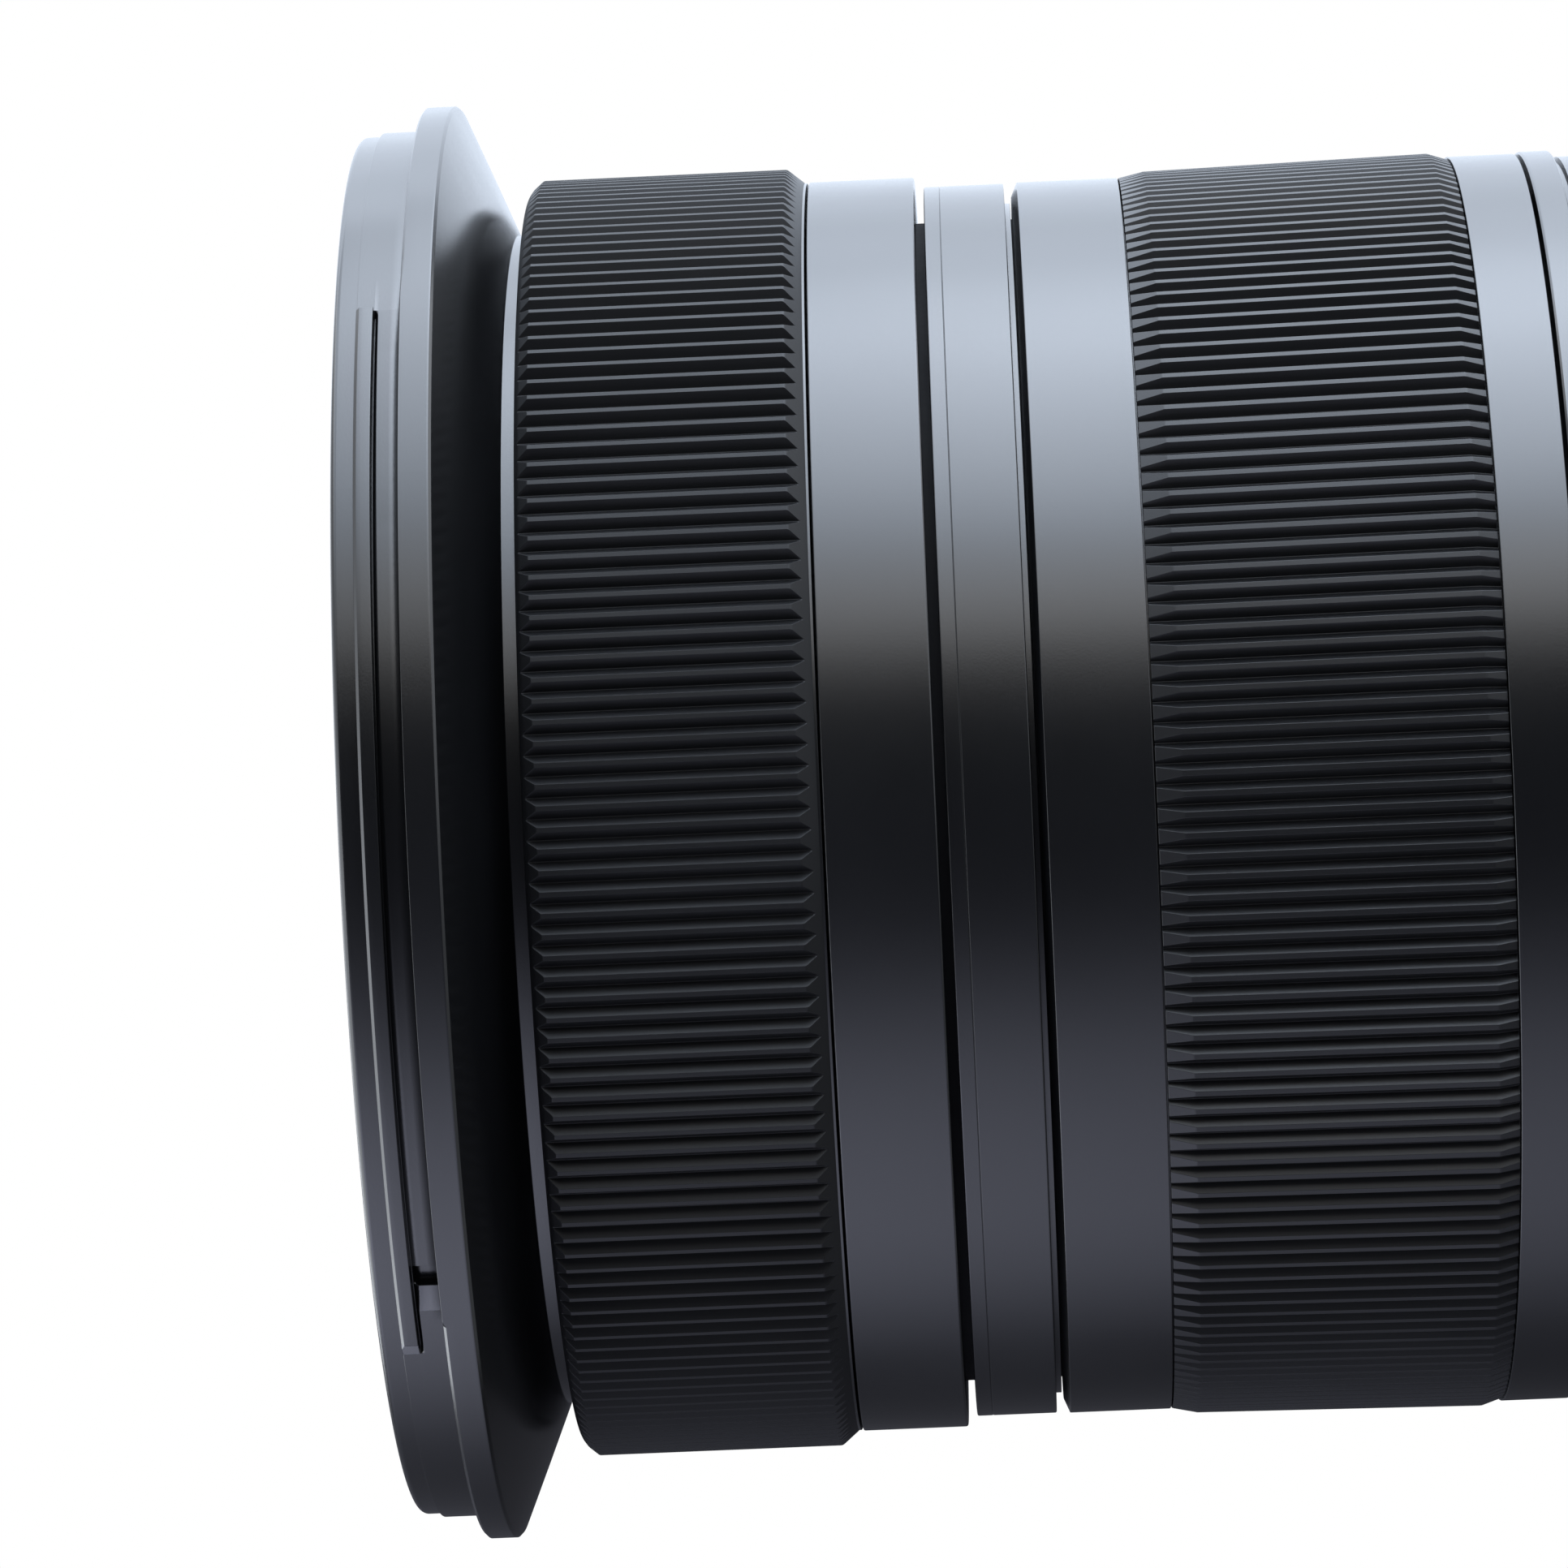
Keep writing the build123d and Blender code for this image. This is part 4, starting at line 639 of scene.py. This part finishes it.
# ---------------------------------------------------------------------------
# zoom ring
# ---------------------------------------------------------------------------
put(lathe("zoom_carrier_ring", [(31.28, Z(61.52), 0.0), (33.46, Z(61.52), 0.07), (33.46, Z(57.98), 0.05), (32.20, Z(57.98), 0.0),
                                (32.20, Z(40.30), 0.0), (33.15, Z(40.30), 0.06), (33.15, Z(34.92), 0.05), (32.38, Z(34.60), 0.06),
                                (31.28, Z(34.60), 0.0)]),
    "zoom_ring", "barrel_black", M_BARREL, "zoom_carrier")


def zcrest(z):
    return float(np.interp(LENGTH - z, [41.70, 56.84, 56.92, 57.00, 57.92], [33.42, 33.678, 33.672, 33.645, 33.43]))


ZOOM = [(40.38, 33.11), (40.42, 33.14), (41.64, 33.40), (41.68, 33.415), (41.76, 33.422), (56.84, 33.678), (56.92, 33.672),
        (57.00, 33.645), (57.90, 33.345), (57.92, 33.335)]
put(ribbed("zoom_grip_ribs", 202, 0.37, zcrest, envelope(ZOOM, [1, 8, 1, 1, 6, 1, 1, 6, 1]), 0.138, 0.48, 0.030, 0.05, 0.05, 32.22),
    "zoom_ring", "grip_rubber", M_GRIP2, "zoom_grip")

# ---------------------------------------------------------------------------
# carried-over pieces
# ---------------------------------------------------------------------------
CARRY = {
    M_BARREL: ["rear_barrel"],
    M_PLASTIC: ["switch_plate", "rear_baffle", "contact_block", "switch_knob"],
    M_MOUNT: ["bayonet_mount"],
    M_SCREW: ["mount_screws", "key_screws"],
    M_SEAL: ["mount_seal"],
    M_GOLD: ["contact_pins"],
    M_INNER: ["main_barrel", "guide_barrel", "rear_cell", "rod_plate", "cam_barrel", "g1_cell", "g2_cell", "g3_cell", "iris_base",
              "iris_cover", "iris_ring", "focus_cell", "front_retainer"],
    M_ROD: ["guide_rods", "lead_screw"],
    M_MOTOR: ["focus_motor"],
    M_BOARD: ["main_board", "focus_sensor"],
    M_BRASS: ["zoom_keys", "g1_followers", "g2_followers", "g3_followers"],
    M_GLASS_F: ["front_element"],
    M_GLASS_2: ["second_element", "fifth_element", "focus_element"],
    M_GLASS_3: ["third_element", "fourth_element", "sixth_element", "seventh_element"],
    M_GLASS_R: ["rear_element", "rear_inner_element"],
    M_BLADE: ["iris_blade_%d" % (i + 1) for i in range(9)],
}
for mat, names in CARRY.items():
    for nm in names:
        ob = NODES[nm]
        ob.data.materials.clear()
        ob.data.materials.append(mat)

# ---------------------------------------------------------------------------
# plain scale numbers, index line and alignment dots
# ---------------------------------------------------------------------------
def pydata(name, verts, faces, smooth=False):
    me = bpy.data.meshes.new(name)
    me.from_pydata([tuple(c * MM for c in v) for v in verts], [], faces)
    me.update(calc_edges=True)
    for f in me.polygons:
        f.use_smooth = smooth
    ob = bpy.data.objects.new(name, me)
    scene0.collection.objects.link(ob)
    return ob


scene0 = bpy.context.scene


def wrapped_numbers(name, items, height, z0, radius, thick):
    """Raised printed numbers round the axis: items are (text, angle in degrees), read with the lens front upward."""
    verts, faces = [], []
    for text, deg in items:
        cu = bpy.data.curves.new(name + text, "FONT")
        cu.body = text
        cu.size = 1.0
        cu.extrude = 0.05
        cu.resolution_u = 5
        cu.align_x = "CENTER"
        tmp = bpy.data.objects.new(name + text, cu)
        scene0.collection.objects.link(tmp)
        bpy.context.view_layer.update()
        me = bpy.data.meshes.new_from_object(tmp.evaluated_get(bpy.context.evaluated_depsgraph_get()))
        co = np.array([tuple(v.co) for v in me.vertices])
        k = height / (co[:, 1].max() - co[:, 1].min())
        mid = (co[:, 1].max() + co[:, 1].min()) / 2
        base = len(verts)
        for x, y, z in co:
            a = math.radians(deg) + x * k * 0.92 / radius
            r = radius + 0.002 + (z + 0.05) / 0.10 * thick
            verts.append((r * math.cos(a), r * math.sin(a), z0 + (y - mid) * k))
        faces += [tuple(base + i for i in pl.vertices) for pl in me.polygons]
        bpy.data.objects.remove(tmp)
        bpy.data.curves.remove(cu)
        bpy.data.meshes.remove(me)
    return pydata(name, verts, faces)


def mark_bar(name, deg, z_lo, z_hi, width, radius, thick):
    """Printed line along the axis with rounded ends."""
    ring = []
    w = width / 2
    for cz, a0 in ((z_hi - w, 0), (z_lo + w, 180)):
        for j in range(9):
            a = math.radians(a0 + 180 * j / 8)
            ring.append((w * math.cos(a), cz + w * math.sin(a)))
    verts, faces = [], []
    for r in (radius + 0.002, radius + 0.002 + thick):
        for x, z in ring:
            a = math.radians(deg) + x / radius
            verts.append((r * math.cos(a), r * math.sin(a), z))
    n = len(ring)
    faces.append(tuple(range(n)))
    faces.append(tuple(range(2 * n - 1, n - 1, -1)))
    for i in range(n):
        j = (i + 1) % n
        faces.append((i, i + n, j + n, j))
    return pydata(name, verts, faces)


def dot_dome(name, spots, radius, height):
    """Low domes: spots are (centre, outward direction)."""
    verts, faces = [], []
    for c, d in spots:
        d = Vector(d).normalized()
        u = d.orthogonal().normalized()
        w = d.cross(u)
        c = Vector(c)
        base = len(verts)
        levels = ((1.0, 0.0), (0.96, 0.45), (0.80, 0.72), (0.5, 0.93), (0.12, 1.0))
        for k, h in levels:
            for j in range(28):
                a = 2 * math.pi * j / 28
                q = c + (u * math.cos(a) + w * math.sin(a)) * radius * k + d * height * h
                verts.append(tuple(q))
        for i in range(len(levels) - 1):
            for j in range(28):
                j2 = (j + 1) % 28
                faces.append((base + i * 28 + j, base + i * 28 + j2, base + i * 28 + 28 + j2, base + i * 28 + 28 + j))
        faces.append(tuple(base + (len(levels) - 1) * 28 + j for j in range(28)))
        faces.append(tuple(base + 27 - j for j in range(28)))
    return pydata(name, verts, faces, True)


span = math.log(35 / 16)
put(wrapped_numbers("zoom_numbers", [(t, 90.0 - 75.0 * math.log(int(t) / 16) / span) for t in ("16", "20", "24", "28", "35")],
                    1.75, Z(59.75), 33.46, 0.014), "zoom_ring", "barrel_black", M_WHITE)
put(mark_bar("zoom_index_line", 90.0, Z(63.10), Z(61.98), 0.30, 33.55, 0.014), "root", "barrel_black", M_WHITE)
a0 = math.radians(172.0)
put(dot_dome("mount_alignment_dot", [((31.655 * math.cos(a0), 31.655 * math.sin(a0), 4.65), (math.cos(a0), math.sin(a0), -0.105))], 1.05, 0.22),
    "root", "barrel_black", M_WHITE)
put(dot_dome("switch_dots", [((0.0, -32.935, 24.0 + dz), (0, -1, 0)) for dz in (-5.6, 5.6)], 0.42, 0.05), "root", "black_plastic", M_WHITE)

# ---------------------------------------------------------------------------
# camera at the photograph's viewing angle
# ---------------------------------------------------------------------------
yaw, pitch, roll = (math.radians(v) for v in (-1.69385, -0.19132, -2.50217))
B = np.array([[1, 0, 0], [0, 0, -1], [0, 1, 0]], float)
c, s = math.cos(yaw), math.sin(yaw)
Ry = np.array([[c, 0, -s], [0, 1, 0], [s, 0, c]])
c, s = math.cos(pitch), math.sin(pitch)
Rx = np.array([[1, 0, 0], [0, c, -s], [0, s, c]])
c, s = math.cos(roll), math.sin(roll)
Rz = np.array([[c, -s, 0], [s, c, 0], [0, 0, 1]])
R = Rz @ Rx @ Ry @ B
rows3 = [Vector((v[2], v[1], -v[0])) for v in R]
cx, cy, cz = rows3[0], -rows3[1], -rows3[2]
cam = bpy.data.cameras.new("camera")
cam.sensor_fit = "HORIZONTAL"
cam.sensor_width = 36.0
cam.lens = 9115.9 / 1932.0 * 36.0
cam.clip_start = 0.01
cam.clip_end = 20.0
cam_ob = bpy.data.objects.new("camera", cam)
bpy.context.scene.collection.objects.link(cam_ob)
cam_ob.matrix_world = Matrix(((cx.x, cy.x, cz.x, 0.0), (cx.y, cy.y, cz.y, -0.4), (cx.z, cy.z, cz.z, 0.06781), (0, 0, 0, 1)))
bpy.context.scene.camera = cam_ob

# ---------------------------------------------------------------------------
# studio: white surroundings, a curved soft light round the optical axis, pale floor
# ---------------------------------------------------------------------------
scene = bpy.context.scene
scene.view_settings.view_transform = "Standard"
world = bpy.data.worlds.new("world") if scene.world is None else scene.world
scene.world = world
world.use_nodes = True
wt = world.node_tree
wt.nodes.clear()
out = wt.nodes.new("ShaderNodeOutputWorld")
bg_dim = wt.nodes.new("ShaderNodeBackground")
bg_dim.inputs["Color"].default_value = (0.9, 0.95, 1.0, 1)
bg_dim.inputs["Strength"].default_value = 0.05
bg_cam = wt.nodes.new("ShaderNodeBackground")
bg_cam.inputs["Color"].default_value = (1, 1, 1, 1)
bg_cam.inputs["Strength"].default_value = 1.0
lp = wt.nodes.new("ShaderNodeLightPath")
ms = wt.nodes.new("ShaderNodeMixShader")
wt.links.new(lp.outputs["Is Camera Ray"], ms.inputs[0])
wt.links.new(bg_dim.outputs[0], ms.inputs[1])
wt.links.new(bg_cam.outputs[0], ms.inputs[2])
wt.links.new(ms.outputs[0], out.inputs["Surface"])

# light reaching the object by direction round the axis: 0 is the camera side, 90 is +X
PSI = [-180, -150, -132, -117, -104, -92, -82, -72, -60, -47, -31, -20, -8, 0, 10, 18, 24, 30, 37, 45, 53, 62, 70, 80, 90, 101, 114, 129,
       146, 162, 174, 179.9]
RAD = [0.05, 0.05, 0.06, 0.14, 0.50, 1.02, 1.38, 1.48, 1.42, 1.12, 0.46, 0.14, 0.05, 0.05, 0.06, 0.15, 0.9, 2.8, 4.1, 5.2, 7.4, 9.5, 10.6,
       11.8, 12.2, 9.7, 5.8, 3.4, 2.2, 1.8, 1.7, 1.6]
ZS = [-0.60, -0.50, -0.43, -0.35, -0.20, -0.10, 0.0, 0.15, 0.3, 0.6, 0.72, 0.80]


def light_arc(radius=0.75):
    ps = np.linspace(-180, 179.9, 121)
    v, cols, f = [], [], []
    for a in ps:
        L = float(np.interp(a, PSI, RAD))
        back = float(np.interp(a, [-180, -140, -110, 100, 150, 180], [1, 1, 0, 0, 1, 1]))
        warm = float(np.interp(a, [0, 20, 34, 48], [0, 1, 0.7, 0]))
        for zz in ZS:
            w = float(np.interp(zz, [-0.60, -0.42, 0.70, 0.80], [0, 1, 1, 0]))
            wb = float(np.interp(zz, [-0.43, -0.35, 0.70, 0.80], [0, 1, 1, 0]))
            k = w * (1 - back) + wb * back
            if a < 0:
                k *= min(2.2, max(0.7, 1.0 + 5.0 * zz))
            elif a < 115:
                k *= min(1.0, max(0.45, 1.07 - 3.6 * zz))
            tint = (0.85 + 0.15 * warm, 0.95 + 0.03 * warm, 1.10 - 0.14 * warm) if a > 0 else (0.88, 0.92, 1.16)
            v.append((math.sin(math.radians(a)) * radius / MM, -math.cos(math.radians(a)) * radius / MM, (0.068 + zz) / MM))
            cols.append((L * k * tint[0] + 0.02, L * k * tint[1] + 0.02, L * k * tint[2] + 0.022, 1.0))
    nz = len(ZS)
    for i in range(len(ps) - 1):
        for j in range(nz - 1):
            a = i * nz + j
            f.append((a, a + 1, a + nz + 1, a + nz))
    ob = new_mesh("light_arc", v, f)
    at = ob.data.color_attributes.new("glow", "FLOAT_COLOR", "POINT")
    at.data.foreach_set("color", np.array(cols, np.float32).ravel())
    return ob


def glow_material(name, colour=None, strength=1.0, attribute=None):
    m = bpy.data.materials.new(name)
    m.use_nodes = True
    nt = m.node_tree
    nt.nodes.clear()
    o = nt.nodes.new("ShaderNodeOutputMaterial")
    e = nt.nodes.new("ShaderNodeEmission")
    e.inputs["Strength"].default_value = strength
    if attribute:
        a = nt.nodes.new("ShaderNodeAttribute")
        a.attribute_name = attribute
        nt.links.new(a.outputs["Color"], e.inputs["Color"])
    else:
        e.inputs["Color"].default_value = colour + (1.0,)
    nt.links.new(e.outputs[0], o.inputs["Surface"])
    return m


arc = light_arc()
arc.data.materials.append(glow_material("mat_light_arc", attribute="glow"))


def light_plane(name, z, shade, up):
    """Square panel across the axis at height z; shade(x, y) gives its brightness in metres across."""
    g = np.linspace(-0.8, 0.8, 17)
    v, cols, f = [], [], []
    for x in g:
        for y in g:
            v.append((x / MM, y / MM, z / MM))
            L = shade(x, y)
            cols.append((0.90 * L, 0.95 * L, 1.02 * L, 1.0))
    for i in range(16):
        for j in range(16):
            q = (i * 17 + j, i * 17 + j + 1, i * 17 + j + 18, i * 17 + j + 17)
            f.append(q if up else q[::-1])
    ob = new_mesh(name, v, f)
    at = ob.data.color_attributes.new("glow", "FLOAT_COLOR", "POINT")
    at.data.foreach_set("color", np.array(cols, np.float32).ravel())
    ob.data.materials.append(arc.data.materials[0])
    return ob


top = light_plane("light_front", 0.68, lambda x, y: float(np.interp(x, [-0.8, -0.1, 0.25, 0.45, 0.65], [4.2, 4.2, 1.2, 1.2, 6.0])), True)
low = light_plane("light_rear", -0.60, lambda x, y: float(np.interp(x, [-0.8, -0.1, 0.1, 0.4], [0.4, 0.6, 1.3, 3.0]) *
                                                         np.interp(y, [0.5, 0.65], [1.0, 0.25])), False)
for ob in (arc, top, low):
    ob.visible_camera = False
    ob.visible_shadow = False

seg = 96
fv = [(0.0, 0.0, -5.02)] + [(100 * math.cos(2 * math.pi * i / seg), 100 * math.sin(2 * math.pi * i / seg), -5.02) for i in range(seg)]
fme = bpy.data.meshes.new("floor")
fme.from_pydata([tuple(x * MM for x in p) for p in fv], [], [(0, 1 + i, 1 + (i + 1) % seg) for i in range(seg)])
floor = bpy.data.objects.new("floor", fme)
scene.collection.objects.link(floor)
floor.data.materials.append(plain_finish("mat_floor", (0.80, 0.80, 0.79), 0.7, 900.0, 0.05, 0.3, 0.02))
floor.visible_glossy = False
floor.visible_shadow = False
